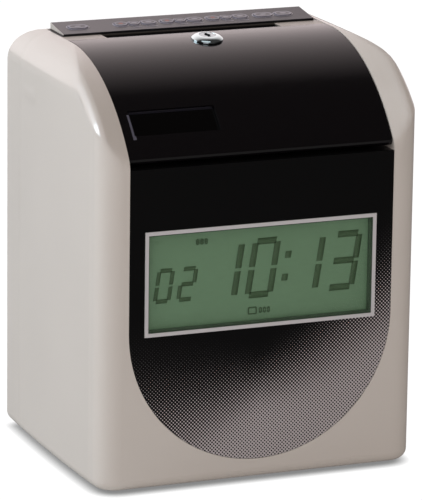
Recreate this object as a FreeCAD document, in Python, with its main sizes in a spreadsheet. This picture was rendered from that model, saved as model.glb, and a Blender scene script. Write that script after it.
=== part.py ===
import FreeCAD, Part
import math
import os
import re
import Sketcher
from FreeCAD import Rotation, Vector

# Time and date recorder for cards: a table-top machine with a curved lockable cover,
# a display panel with a half-round foot, and a card slot in front of a strip of keys.
# Millimetres, X to the viewer's right, front towards -Y, Z up, floor at Z = 0,
# origin at the centre of the footprint.

# Driving dimensions
SIZES = {
    "body_width": 160, "body_depth": 126, "body_height": 194.5, "side_bulge": 1.5,
    "corner_round": 11, "crease_round": 10, "shoulder_round": 16, "rear_round": 18, "bottom_round": 5,
    "cheek_step": 1, "cheek_swell": 11.17, "cheek_lift": 8, "cheek_round": 4,
    "case_wall": 2.5, "front_wall": 3, "rear_shell": 20, "foot_gap": 1.5,
    "foot_radius": 6, "foot_pad": 3, "foot_inset_x": 22, "foot_inset_front": 15, "foot_inset_rear": 11,
    "fit_gap": 0.2, "side_gap": 0.35, "run_gap": 0.05, "seat_gap": 0.3,
    "cover_fall": 42.5, "top_run": 49.83, "cover_wall": 2.5, "end_gap": 0.3,
    "bead_radius": 2.5, "hinge_pin_radius": 1.25, "hinge_pin_reach": 6,
    "flange_depth": 10, "flange_wall": 2, "cheek_wall": 2.5, "cheek_band": 16,
    "recess_side": 5.5, "recess_width": 42, "recess_rise": 12, "recess_tall": 9.5,
    "recess_depth": 1.6, "pane_thick": 0.8,
    "panel_side": 15, "panel_thick": 1, "panel_foot": 9.5, "groove": 1.6,
    "lcd_x": -0.6, "lcd_side": 8, "lcd_drop": 30.5, "lcd_share": 0.3224, "lcd_band": 1.7,
    "frame_proud": 0.8, "window_thick": 1, "glass_thick": 2.8, "holder_depth": 9,
    "board_thick": 1.6, "small_screw_radius": 1.25,
    "deck_depth": 27.3, "deck_thick": 5.5, "lip_depth": 5.2, "lip_drop": 3,
    "strip_depth": 17.5, "strip_inset": 17.5, "strip_lip": 0.7, "strip_rise": 3.1,
    "strip_side": 1.6, "strip_wall": 2, "shelf_wide": 5, "shelf_thick": 2,
    "slot_x": -1.4, "slot_side": 12, "slot_mouth": 8.5, "chute_gap": 5, "chute_foot": 22,
    "key_row": 8.6, "key_proud": 0.5, "key_travel": 0.4, "key_depth": 5.2, "key_gap": 0.15,
    "group_pitch": 23.3, "key_units": 126.8, "switch_size": 4.4,
    "lock_x": -1.6, "lock_inset": 15.1, "bezel_radius": 7.4, "bezel_dome": 2.2, "barrel_radius": 6,
    "barrel_length": 12, "plug_radius": 4, "cam_length": 9.5, "cam_thick": 1.5, "nut_thick": 2.5,
    "sheet_thick": 1.5, "frame_gap": 4, "frame_drop": 26.5,
    "feed_height": 70, "feed_shaft_radius": 2.5, "roller_radius": 7, "roller_width": 10,
    "roller_spread": 20, "pinch_shaft_radius": 2, "pinch_roller_radius": 6,
    "gear_module": 0.8, "gear_teeth": 30, "pinion_teeth": 12, "gear_width": 4,
    "motor_radius": 13, "motor_room": 1.5, "motor_angle": 45,
    "print_drop": 57.5, "carriage_drop": 15, "rod_share": 0.42, "rod_radius": 3,
    "screw_radius": 2.5, "carriage_width": 36, "carriage_travel": 24,
    "head_width": 20, "nose_width": 8, "ribbon_tall": 13, "ribbon_thick": 0.3,
    "cassette_height": 14, "cassette_share": 0.6, "knob_inset": 22, "knob_radius": 8, "knob_height": 4,
    "case_screw_radius": 1.6, "case_boss_radius": 5, "boss_low": 18, "boss_drop": 26.5,
    "wall_hole_radius": 2.5, "wall_hole_spacing": 100, "wall_hole_height": 78,
    "jack_inset": 16, "jack_height": 24, "jack_bore": 2.85, "jack_depth": 9,
    "battery_width": 52, "battery_cell": 7, "board_side": 6,
}

# Sizes and places worked out from them
DERIVED = {
    "front_y": "0 - (body_depth - frame_proud) / 2",
    "rear_y": "front_y + body_depth",
    "seam_y": "rear_y - rear_shell",
    "bottom_z": "foot_gap",
    "top_z": "bottom_z + body_height",
    "floor_z": "bottom_z + case_wall",
    "half_width": "body_width / 2",
    "panel_half": "half_width - panel_side",
    "crease_height": "body_height - cover_fall",
    "cover_run": "body_depth - top_run",
    "cover_radius": "(cover_run ^ 2 + cover_fall ^ 2) / (2 * cover_fall)",
    "strip_rear": "body_depth - strip_inset",
    "strip_front": "strip_rear - strip_depth",
    "deck_front": "strip_rear - deck_depth",
    "lip_front": "deck_front - lip_depth",
    "cover_end": "deck_front - end_gap",
    "crease_z": "bottom_z + crease_height",
    "arc_z": "top_z - cover_radius",
    "arc_y": "front_y + sqrt(cover_radius ^ 2 - (crease_z - arc_z) ^ 2)",
    "side_radius": "(body_depth ^ 2 / 4 + side_bulge ^ 2) / (2 * side_bulge)",
    "step_run": "cover_run - cheek_step",
    "step_fall": "cover_fall - cheek_step",
    "step_radius": "(step_run ^ 2 + step_fall ^ 2) / (2 * step_fall)",
    "swell_run": "cover_run - cheek_swell",
    "swell_fall": "cover_fall - cheek_lift",
    "swell_radius": "(swell_run ^ 2 + swell_fall ^ 2) / (2 * swell_fall)",
    "inner_front": "front_y + front_wall",
    "inner_rear": "rear_y - case_wall",
    "panel_top": "crease_z - groove",
    "panel_arc_z": "bottom_z + panel_half + panel_foot",
    "bead_angle": "asin((crease_z + bead_radius - arc_z) / (cover_radius - bead_radius)) / 1 deg",
    "bead_y": "arc_y - (cover_radius - bead_radius) * cos(bead_angle)",
    "bead_z": "crease_z + bead_radius",
    "cover_end_angle": "90 + asin((front_y + cover_end - arc_y) / cover_radius) / 1 deg",
    "flange_end_angle": "90 + asin((front_y + lip_front - 4 - arc_y) / cover_radius) / 1 deg",
    "cover_half": "panel_half - side_gap",
    "recess_left": "recess_side - panel_half",
    "recess_right": "recess_left + recess_width",
    "recess_low": "crease_height + recess_rise",
    "recess_high": "recess_low + recess_tall",
    "lcd_width": "2 * (panel_half - lcd_side)",
    "lcd_tall": "crease_height * lcd_share",
    "lcd_z": "crease_z - lcd_drop - lcd_tall / 2",
    "collar_width": "lcd_width - 2.4",
    "collar_tall": "lcd_tall - 2.4",
    "view_width": "lcd_width - 2 * lcd_band",
    "view_tall": "lcd_tall - 2 * lcd_band",
    "glass_y": "inner_front + seat_gap",
    "board_y": "glass_y + holder_depth",
    "board_back": "board_y + board_thick",
    "deck_low": "top_z - deck_thick",
    "strip_width": "2 * (panel_half - strip_side)",
    "key_unit": "strip_width / key_units",
    "strip_slope": "atan((strip_rise - strip_lip) / (strip_rear - strip_front)) / 1 deg",
    "strip_y": "front_y + strip_front",
    "strip_z": "top_z + strip_lip",
    "card_y": "front_y + deck_front + slot_mouth / 2",
    "chute_front_y": "card_y - chute_gap / 2",
    "chute_rear_y": "card_y + chute_gap / 2",
    "chute_low": "bottom_z + chute_foot",
    "chute_high": "deck_low - seat_gap",
    "frame_front": "board_back + 5",
    "frame_rear": "inner_rear - 8",
    "frame_half": "panel_half - shelf_wide - frame_gap",
    "slot_width": "2 * (frame_half - slot_side)",
    "jack_x": "jack_inset - frame_half",
    "knob_x": "knob_inset - frame_half",
    "frame_out": "frame_half + sheet_thick",
    "frame_top": "body_height - frame_drop",
    "board_half": "frame_half - board_side",
    "lock_y": "cover_end - lock_inset",
    "lock_angle": "asin((arc_y - front_y - lock_y) / cover_radius) / 1 deg",
    "plug_end": "barrel_length + 0.3",
    "catch_z": "top_z - barrel_length",
    "feed_y": "card_y + 0.15 + roller_radius",
    "feed_z": "bottom_z + feed_height",
    "pinch_y": "card_y - 0.15 - pinch_roller_radius",
    "gear_span": "gear_module * (gear_teeth + pinion_teeth) / 2 + 0.08",
    "motor_y": "feed_y + gear_span * cos(motor_angle)",
    "motor_z": "feed_z - gear_span * sin(motor_angle)",
    "gear_x": "frame_out + 1.5",
    "motor_length": "half_width - 2 * side_bulge - frame_out - motor_room",
    "print_room": "card_y - frame_front",
    "rod_rear_y": "card_y - print_room * rod_share",
    "rod_front_y": "rod_rear_y - print_room * rod_share",
    "screw_y": "(rod_rear_y + rod_front_y) / 2",
    "print_z": "top_z - print_drop",
    "rod_z": "print_z - carriage_drop",
    "cassette_depth": "print_room * cassette_share",
    "ribbon_y": "chute_front_y - sheet_thick - 0.5",
    "cassette_z": "print_z + ribbon_tall / 2 + 2",
    "boss_x": "half_width - shoulder_round",
    "boss_high": "body_height - boss_drop",
    "jack_z": "bottom_z + jack_height",
}

# Keys on the strip, from the viewer's left: name, place from the slot's centre and width, in key units
# of a millimetre on a strip of the real width
GROUP_KEYS = [("round", -6.9, 6.2), ("small", -0.3, 5.2), ("oval", 7.0, 7.2)]
GROUP_NAMES = ["morning", "noon", "evening"]
END_KEYS = [("left_key", -51.7, 9.5), ("date_key", 42.2, 9.2), ("set_key", 52.4, 8.2)]


doc = FreeCAD.newDocument("time_recorder")
dims = doc.addObject("Spreadsheet::Sheet", "dims")
work = doc.addObject("Spreadsheet::Sheet", "work")
nodes = []


def fill_sheet():
    """Write the driving sizes as plain numbers and the worked-out ones as formulas."""
    for row, (name, value) in enumerate(list(SIZES.items()) + list(DERIVED.items()), start=1):
        text = str(value) if name in SIZES else "=" + value
        dims.set(f"A{row}", name)
        dims.set(f"B{row}", text)
        dims.setAlias(f"B{row}", name)
    doc.recompute()


def formula(text):
    """Put the sheet's name before each of its aliases in a formula."""
    def prefix(match):
        word = match.group()
        return "dims." + word if word in SIZES or word in DERIVED else word
    return re.sub(r"[a-z_]+\b", prefix, str(text))


def number(text):
    """Work out a formula with the sheet's values."""
    work.set("A1", "=" + formula(text))
    work.recompute()
    return float(work.get("A1"))


def bind(thing, **sizes):
    """Bind properties of an object to formulas; a double underscore stands for a dot."""
    for name, text in sizes.items():
        thing.setExpression(name.replace("__", "."), formula(text))
    return thing


def node(thing, label):
    """Mark an object as a finished piece under its own name."""
    thing.Label = label
    nodes.append(thing)
    return thing


# Primitives and booleans

def box(name, x0, x1, y0, y1, z0, z1):
    """Block between two corners given as formulas."""
    made = doc.addObject("Part::Box", name)
    return bind(made, Length=f"({x1}) - ({x0})", Width=f"({y1}) - ({y0})", Height=f"({z1}) - ({z0})",
                Placement__Base__x=x0, Placement__Base__y=y0, Placement__Base__z=z0)


AXES = {"x": Rotation(Vector(0, 1, 0), 90), "y": Rotation(Vector(1, 0, 0), -90), "z": Rotation()}
# Turns a cylinder so that its axis runs towards -X and its angle rises from the front
FROM_FRONT = Rotation(Vector(0, -1, 0), Vector(0, 0, 1), Vector(-1, 0, 0), "XYZ")


def rod(name, axis, x, y, z, radius, length):
    """Cylinder that starts at a point and runs along a positive axis."""
    made = doc.addObject("Part::Cylinder", name)
    made.Placement = FreeCAD.Placement(Vector(), AXES[axis])
    return bind(made, Radius=radius, Height=length,
                Placement__Base__x=x, Placement__Base__y=y, Placement__Base__z=z)


def sector(name, x0, x1, radius, start, end):
    """Slice of a cylinder about the cover's centre line; angles rise from the front."""
    slice_ = doc.addObject("Part::Cylinder", name + "_slice")
    slice_.Placement = FreeCAD.Placement(Vector(), Rotation(Vector(0, 0, 1), 10))
    bind(slice_, Radius=radius, Height=f"({x1}) - ({x0})", Angle=f"({end}) - ({start})",
         Placement__Rotation__Angle=start)
    made = group(name, [slice_])
    made.Placement = FreeCAD.Placement(Vector(), FROM_FRONT)
    return bind(made, Placement__Base__x=x1, Placement__Base__y="arc_y", Placement__Base__z="arc_z")


def fuse(name, parts):
    """Join pieces to one solid."""
    made = doc.addObject("Part::MultiFuse", name)
    made.Shapes = parts
    made.Refine = True
    return made


def group(name, parts):
    """Keep identical separate solids under one name."""
    made = doc.addObject("Part::Compound", name)
    made.Links = parts
    return made


def cut(name, base, tools):
    """Take tools away from a piece."""
    tool = tools[0]
    if len(tools) > 1:
        tool = doc.addObject("Part::MultiFuse", name + "_tools")
        tool.Shapes = tools
    made = doc.addObject("Part::Cut", name)
    made.Base = base
    made.Tool = tool
    return made


def common(name, parts):
    """Keep what pieces share."""
    made = doc.addObject("Part::MultiCommon", name)
    made.Shapes = parts
    return made


# Sketches and prisms

def draw(sketch, outline):
    """Closed outline of (x, y) corners. (x, y, radius, side) starts an arc that bulges to that side of
    the way round, 1 for left; with the word half for its radius it is a half circle on its chord."""
    points = [Vector(number(c[0]), number(c[1]), 0) for c in outline]
    count = len(outline)
    for i, corner in enumerate(outline):
        a, b = points[i], points[(i + 1) % count]
        if len(corner) == 2:
            sketch.addGeometry(Part.LineSegment(a, b), False)
            continue
        chord = b - a
        half = chord.Length / 2
        radius = half if corner[2] == "half" else number(corner[2])
        rise = radius - math.sqrt(max(radius ** 2 - half ** 2, 0))
        out = Vector(-chord.y, chord.x, 0).normalize() * (rise * corner[3])
        sketch.addGeometry(Part.Arc(a, (a + b) * 0.5 + out, b), False)
    ends = []
    for i, geometry in enumerate(sketch.Geometry):
        first = 1 if (geometry.StartPoint - points[i]).Length < (geometry.EndPoint - points[i]).Length else 2
        ends.append((first, 3 - first))
    for i, corner in enumerate(outline):
        before = (i - 1) % count
        sketch.addConstraint(Sketcher.Constraint("Coincident", before, ends[before][1], i, ends[i][0]))
        for kind, text in (("DistanceX", corner[0]), ("DistanceY", corner[1])):
            value = points[i].x if kind == "DistanceX" else points[i].y
            index = sketch.addConstraint(Sketcher.Constraint(kind, -1, 1, i, ends[i][0], value))
            sketch.setExpression(f"Constraints[{index}]", formula(text))
        if len(corner) == 4 and corner[2] == "half":
            upright = abs(points[i].x - points[(i + 1) % count].x) < 1e-6
            kind, text, value = ("DistanceX", corner[0], points[i].x) if upright else (
                "DistanceY", corner[1], points[i].y)
            index = sketch.addConstraint(Sketcher.Constraint(kind, -1, 1, i, 3, value))
            sketch.setExpression(f"Constraints[{index}]", formula(text))
        elif len(corner) == 4:
            index = sketch.addConstraint(Sketcher.Constraint("Radius", i, number(corner[2])))
            sketch.setExpression(f"Constraints[{index}]", formula(corner[2]))


def new_sketch(body, plane, outline, offset="0"):
    """Sketch on one of the body's own origin planes, moved along the plane's normal."""
    sketch = body.newObject("Sketcher::SketchObject", body.Name + "_sketch")
    face = [f for f in body.Origin.OriginFeatures if f.Role == plane + "_Plane"][0]
    sketch.AttachmentSupport = [(face, "")]
    sketch.MapMode = "FlatFace"
    sketch.setExpression("AttachmentOffset.Base.z", formula(offset))
    draw(sketch, outline)
    return sketch


def pad(body, plane, outline, start, end):
    """Pad an outline from one place to another along the plane's normal."""
    made = body.newObject("PartDesign::Pad", body.Name + "_pad")
    made.Profile = new_sketch(body, plane, outline, start)
    body.Tip = made
    return bind(made, Length=f"({end}) - ({start})")


def pocket(body, plane, outline, start, end):
    """Pocket an outline between two places along the plane's normal."""
    made = body.newObject("PartDesign::Pocket", body.Name + "_pocket")
    made.Profile = new_sketch(body, plane, outline, start)
    made.Reversed = True
    body.Tip = made
    return bind(made, Length=f"({end}) - ({start})")


def prism(name, plane, outline, start, end):
    """Body padded from one outline; XZ plane places count towards the front."""
    body = doc.addObject("PartDesign::Body", name)
    pad(body, plane, outline, start, end)
    return body


def obround(x, y, width, tall):
    """Outline with two straight sides and round ends."""
    left, right = f"({x}) - (({width}) - ({tall})) / 2", f"({x}) + (({width}) - ({tall})) / 2"
    low, high = f"({y}) - ({tall}) / 2", f"({y}) + ({tall}) / 2"
    return [(left, low), (right, low, "half", -1), (right, high), (left, high, "half", -1)]


def fillet(name, base, radius, wanted):
    """Round the edges of a shape whose middle points pass a test."""
    doc.recompute()
    edges = []
    for index, edge in enumerate(base.Shape.Edges, start=1):
        middle = edge.valueAt((edge.FirstParameter + edge.LastParameter) / 2)
        if wanted(middle, edge):
            edges.append((index, number(radius), number(radius)))
    made = doc.addObject("Part::Fillet", name)
    made.Base = base
    made.Edges = edges
    return made


# Case

def side_outline(run, radius, drawn):
    """Side view of the case from under the floor: top, a long arc down to the front and a soft crease.
    It runs past the rear and is drawn in at the top and front."""
    low, rear = "bottom_z - 8", "rear_y + 5"
    front, high = f"(front_y + {drawn})", f"top_z - {drawn}"
    arc, bend = f"({radius} - {drawn})", f"(crease_round - {drawn})"
    middle_y, middle_z = f"(front_y + {run})", f"(top_z - {radius})"
    bend_y = f"({front} + {bend})"
    bend_z = f"({middle_z} + sqrt(({arc} - {bend}) ^ 2 - ({middle_y} - {bend_y}) ^ 2))"
    reach = f"{arc} / ({arc} - {bend})"
    return [(front, low), (rear, low), (rear, high), (middle_y, high, arc, -1),
            (f"{middle_y} + ({bend_y} - {middle_y}) * {reach}", f"{middle_z} + ({bend_z} - {middle_z}) * {reach}",
             bend, -1), (front, bend_z)]


def side_loft(name, inset):
    """Case between its side views: low beside the cover, swelling over the cheeks, eased off at the sides."""
    ease = f"(cheek_round - {inset})"
    edge = "half_width - side_bulge / 2 - cheek_round"
    views = [("panel_half", ("step_run", "step_radius", inset))]
    for across, down in (("0", "0"), ("0.5", "0.134"), ("0.866", "0.5"), ("1", "1")):
        views.append((f"{edge} + {ease} * {across}",
                      ("swell_run", "swell_radius", f"({inset} + {ease} * {down})")))
    views.append(("half_width + 2", views[-1][1]))
    body = doc.addObject("PartDesign::Body", name)
    sketches = [new_sketch(body, "YZ", side_outline(*view), f"0 - ({x})") for x, view in reversed(views)]
    sketches += [new_sketch(body, "YZ", side_outline(*view), x) for x, view in views]
    made = body.newObject("PartDesign::AdditiveLoft", name + "_loft")
    made.Profile = sketches[0]
    made.Sections = sketches[1:]
    made.Ruled = True
    body.Tip = made
    return body


def case_block(name, inset):
    """Rounded outside of the case, or its inside when inset by the wall."""
    front, rear = f"front_y + {inset}", f"rear_y - {inset}"
    bow, turn = f"side_radius - {inset}", f"(corner_round - {inset})"
    right = f"half_width - side_radius + sqrt(({bow}) ^ 2 - (body_depth / 2 + 3) ^ 2)"
    left = f"0 - ({right})"
    far = f"half_width - side_bulge * (1 - 2 * corner_round / body_depth) ^ 2 - 0.2 - {inset}"
    near = f"0 - ({far})"
    plan = prism(name + "_plan", "XY",
                 [(left, "front_y - 3"), (right, "front_y - 3", bow, -1), (right, "rear_y + 3"),
                  (left, "rear_y + 3", bow, -1)],
                 f"bottom_z + {inset}", f"top_z - {inset}")
    corners = prism(name + "_corners", "XY",
                    [(f"{near} + {turn}", front), (f"{far} - {turn}", front, turn, -1),
                     (far, f"{front} + {turn}"), (f"{far} + 12", "rear_y + 5"), (f"{near} - 12", "rear_y + 5"),
                     (near, f"{front} + {turn}", turn, -1)],
                    "bottom_z - 5", "top_z + 5")
    high_z, low_z = number(f"top_z - {inset}"), number(f"bottom_z + {inset}")
    limit = number(right) - 0.5

    def shoulders(point, edge):
        """Edges where the sides meet the top."""
        return abs(point.x) > limit and abs(point.z - high_z) < 0.01

    def bottom(point, edge):
        """Edges round the floor."""
        return abs(point.z - low_z) < 0.01

    rounded = fillet(name + "_shoulders", plan, f"shoulder_round - {inset}", shoulders)
    bend = f"(rear_round - {inset})"
    back = prism(name + "_back", "YZ",
                 [("front_y - 10", "bottom_z - 10"), (rear, "bottom_z - 10"),
                  (rear, f"top_z - {inset} - {bend}", bend, -1), (f"{rear} - {bend}", f"top_z - {inset}"),
                  ("front_y - 10", "top_z + 10")],
                 "0 - body_width", "body_width")
    turned = common(name + "_turned", [rounded, corners, back])
    whole = common(name + "_block", [turned, side_loft(name + "_sides", inset)])
    return fillet(name + "_case", whole, f"bottom_round - {inset}", bottom)


def slope_place(piece):
    """Set a piece that was built flat on the sloping strip of keys."""
    thing = group(piece.Name + "_on_slope", [piece])
    thing.Placement = FreeCAD.Placement(Vector(), Rotation(Vector(1, 0, 0), 1))
    return bind(thing, Placement__Rotation__Angle="strip_slope", Placement__Base__x="slot_x",
                Placement__Base__y="strip_y", Placement__Base__z="strip_z")


def lock_place(piece):
    """Set a piece that was built upright on the lock's axis, square to the curved cover."""
    thing = group(piece.Name + "_on_cover", [piece])
    thing.Placement = FreeCAD.Placement(Vector(), Rotation(Vector(1, 0, 0), 1))
    return bind(thing, Placement__Rotation__Angle="lock_angle", Placement__Base__x="lock_x",
                Placement__Base__y="arc_y - cover_radius * sin(lock_angle)",
                Placement__Base__z="arc_z + cover_radius * cos(lock_angle)")


def boss_places():
    """Corners of the case where its screws run: name, X and Z."""
    return [(side + level, f"{sign} boss_x", f"bottom_z + boss_{level}")
            for side, sign in (("left_", "0 -"), ("right_", ""))
            for level in ("low", "high")]


def boss_web(name, side, x, z, y0, y1):
    """Rib from a screw boss to the side wall."""
    x0, x1 = ("0 - half_width", x) if side.startswith("left") else (x, "half_width")
    return box(name, x0, x1, y0, y1, f"{z} - 1.5", f"{z} + 1.5")


def make_case():
    """Front and rear shells with the openings for the cover, the panel and the display."""
    outer = case_block("outer", "0")
    inner = case_block("inner", "case_wall")
    shell = cut("case_shell", outer, [inner])
    mouth_end = "front_y + strip_rear + seat_gap"
    mouth = box("top_mouth", "0 - panel_half", "panel_half", "front_y - 5", mouth_end, "panel_top", "top_z + 5")

    half = box("front_half", "0 - body_width", "body_width", "front_y - 5", "seam_y - 0.1", "0 - 5", "top_z + 5")
    cheeks = []
    for side, near, far in (("left", "0 - panel_half - cheek_wall", "0 - panel_half"),
                            ("right", "panel_half", "panel_half + cheek_wall")):
        block = box(side + "_cheek_block", near, far, "front_y - 5", "seam_y - 0.1",
                    "crease_z - cheek_band", "top_z + 5")
        cheeks.append(common(side + "_cheek_skin", [block, outer]))
    hollow = sector("cheek_hollow", "0 - body_width", "body_width", "cover_radius - cheek_band", "0", "360")
    cheek_pair = cut("cheeks", group("cheek_skins", cheeks), [hollow])
    thick_front = common("front_skin", [outer, box(
        "front_skin_block", "0 - half_width", "half_width", "front_y - 5", "inner_front", "0", "panel_top")])

    shelves = [box(side + "_shelf", x0, x1, "front_y + deck_front + 2", "seam_y - 4",
                   "deck_low - shelf_thick", "deck_low")
               for side, x0, x1 in (("left", "0 - panel_half", "0 - panel_half + shelf_wide * key_unit"),
                                    ("right", "panel_half - shelf_wide * key_unit", "panel_half"))]
    bosses, pilots = [], []
    for name, x, z in boss_places():
        bosses.append(boss_web(name + "_front_web", name, x, z, "seam_y - 22", "seam_y - 0.1"))
        bosses.append(rod(name + "_front_boss", "y", x, "seam_y - 22", z, "case_boss_radius", "21.9"))
        pilots.append(rod(name + "_pilot", "y", x, "seam_y - 20", z, "case_screw_radius + 0.02", "30"))
    stands = []
    for name, x, z in display_corners():
        stands.append(rod(name + "_stand", "y", x, "inner_front - 0.5", z, "3.2", "board_y - inner_front + 0.5"))
        pilots.append(rod(name + "_stand_hole", "y", x, "board_y - 7", z, "small_screw_radius + 0.02", "8"))
    in_shell = common("front_bosses", [fuse("front_boss_set", bosses), outer])

    recess = prism("panel_recess", "XZ", panel_outline("panel_half"), "0 - front_y - panel_thick", "5 - front_y")
    window = box("collar_hole", "lcd_x - collar_width / 2 - fit_gap", "lcd_x + collar_width / 2 + fit_gap",
                 "front_y - 5", "inner_front + 5", "lcd_z - collar_tall / 2 - fit_gap",
                 "lcd_z + collar_tall / 2 + fit_gap")
    pins = rod("hinge_holes", "x", "0 - half_width", "bead_y", "bead_z", "hinge_pin_radius + 0.01", "body_width")
    pin_holes = common("hinge_hole_pair", [pins, box(
        "hinge_hole_zone", "0 - panel_half - hinge_pin_reach + 2", "panel_half + hinge_pin_reach - 2",
        "front_y - 5", "arc_y", "0", "top_z")])
    ears = []
    for side, x in (("left", "0 - panel_half - 5"), ("right", "panel_half")):
        ears.append(rod(side + "_hinge_ear", "x", x, "bead_y", "bead_z", "bead_radius + 1.5", "5"))
    ear_pair = common("hinge_ears", [group("ear_set", ears), outer])
    feet = [rod(name + "_front_seat", "z", x, y, "0", "foot_radius + fit_gap", "foot_pad")
            for name, x, y in foot_places()]
    front_part = common("front_shell", [shell, half])
    opened = cut("front_opened", fuse("front_walls", [front_part, thick_front]), [mouth])
    groove_floor = box("groove_floor", "0 - panel_half", "panel_half", "inner_front - 1", "inner_front + 9",
                       "panel_top - 2", "panel_top")
    whole = fuse("front_whole", [opened, cheek_pair, ear_pair, in_shell, groove_floor] + shelves + stands
                 + foot_pads("front"))
    node(cut("front_case_solid", whole, [recess, window, pin_holes] + pilots + feet), "front_case")

    rear_half = box("rear_half", "0 - body_width", "body_width", "seam_y", "rear_y + 5", "0 - 5", "top_z + 5")
    posts, bores = [], []
    for name, x, z in boss_places():
        posts.append(boss_web(name + "_rear_web", name, x, z, "seam_y", "rear_y - 0.2"))
        posts.append(rod(name + "_rear_boss", "y", x, "seam_y", z, "case_boss_radius", "rear_y - seam_y - 0.2"))
        bores.append(rod(name + "_rear_bore", "y", x, "seam_y - 1", z, "case_screw_radius + 0.1", "40"))
        bores.append(rod(name + "_head_bore", "y", x, "rear_y - 9", z, "case_screw_radius * 2 + 0.2", "20"))
    for name, x, z in frame_corners():
        posts.append(rod(name + "_rear_post", "y", x, "frame_rear + sheet_thick", z, "3.5",
                         "rear_y - 1 - frame_rear - sheet_thick"))
        bores.append(rod(name + "_post_hole", "y", x, "frame_rear", z, "small_screw_radius + 0.02", "7.5"))
    for name, x, z in board_corners():
        posts.append(rod(name + "_board_post", "y", x, "inner_rear - 6", z, "3", "6.5"))
        bores.append(rod(name + "_board_post_hole", "y", x, "inner_rear - 7", z, "small_screw_radius + 0.02", "7"))
    for name, x in (("left", "0 - wall_hole_spacing / 2"), ("right", "wall_hole_spacing / 2")):
        bores.append(rod(name + "_wall_hole", "y", x, "inner_rear - 1", "bottom_z + wall_hole_height",
                         "wall_hole_radius", "10"))
    bores.append(rod("jack_hole", "y", "jack_x", "inner_rear - 1", "jack_z", "jack_bore + 1.4", "10"))
    rear_posts = common("rear_posts", [fuse("rear_post_set", posts), outer])
    rear_part = common("rear_shell", [shell, rear_half])
    rear_open = cut("rear_opened", rear_part, [mouth])
    rear_whole = fuse("rear_whole", [rear_open, rear_posts] + foot_pads("rear"))
    node(cut("rear_case_solid", rear_whole, bores + feet), "rear_case")

    node(group("feet", [rod(name + "_foot", "z", x, y, "0", "foot_radius", "foot_pad - 0.1")
                        for name, x, y in foot_places()]), "rubber_feet")
    screws = []
    for name, x, z in boss_places():
        head = rod(name + "_screw_head", "y", x, "rear_y - 9", z, "case_screw_radius * 2", "2.2")
        shank = rod(name + "_screw_shank", "y", x, "seam_y - 12", z, "case_screw_radius",
                    "rear_y - 9 - seam_y + 12")
        screws.append(slotted(name + "_case_screw", head, shank, x, "rear_y - 7.6", z, "case_screw_radius"))
    node(group("case_screw_set", screws), "case_screws")


def slotted(name, head, shank, x, y, z, radius):
    """Screw along Y with a cross in the head that faces the rear."""
    arms = [box(name + "_slot", f"{x} - {radius}", f"{x} + {radius}", y, f"{y} + 3", f"{z} - 0.4", f"{z} + 0.4"),
            box(name + "_cross", f"{x} - 0.4", f"{x} + 0.4", y, f"{y} + 3", f"{z} - {radius}", f"{z} + {radius}")]
    return cut(name, fuse(name + "_blank", [head, shank]), arms)


def foot_places():
    """Feet: name, X and Y."""
    return [(side + end, f"{sign} (half_width - foot_inset_x)", y)
            for side, sign in (("left_", "0 -"), ("right_", ""))
            for end, y in (("front", "front_y + foot_inset_front"), ("rear", "rear_y - foot_inset_rear"))]


def foot_pads(end):
    """Thick places in the floor that the feet are let into."""
    return [rod(name + "_pad", "z", x, y, "bottom_z + 0.5", "foot_radius + 1.2", "foot_pad")
            for name, x, y in foot_places() if name.endswith(end)]


def display_corners():
    """Screw places of the display board: name, X and Z."""
    return [(f"display_{side}_{level}", f"lcd_x {sx} (lcd_width / 2 + 7)", f"lcd_z {sz} (lcd_tall / 2 + 4)")
            for side, sx in (("left", "-"), ("right", "+")) for level, sz in (("low", "-"), ("high", "+"))]


def frame_corners():
    """Screw places of the side frames' rear flanges: name, X and Z."""
    return [(f"frame_{side}_{level}", f"{sign} (frame_out + 5)", z)
            for side, sign in (("left", "0 -"), ("right", ""))
            for level, z in (("low", "floor_z + 32"), ("high", "bottom_z + frame_top - 20"))]


def board_corners():
    """Screw places of the main board: name, X and Z."""
    return [(f"board_{side}_{level}", f"{sign} (board_half - 5)", z)
            for side, sign in (("left", "0 -"), ("right", ""))
            for level, z in (("low", "bottom_z + 92"), ("high", "bottom_z + 150"))]


# Cover and lock

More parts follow.
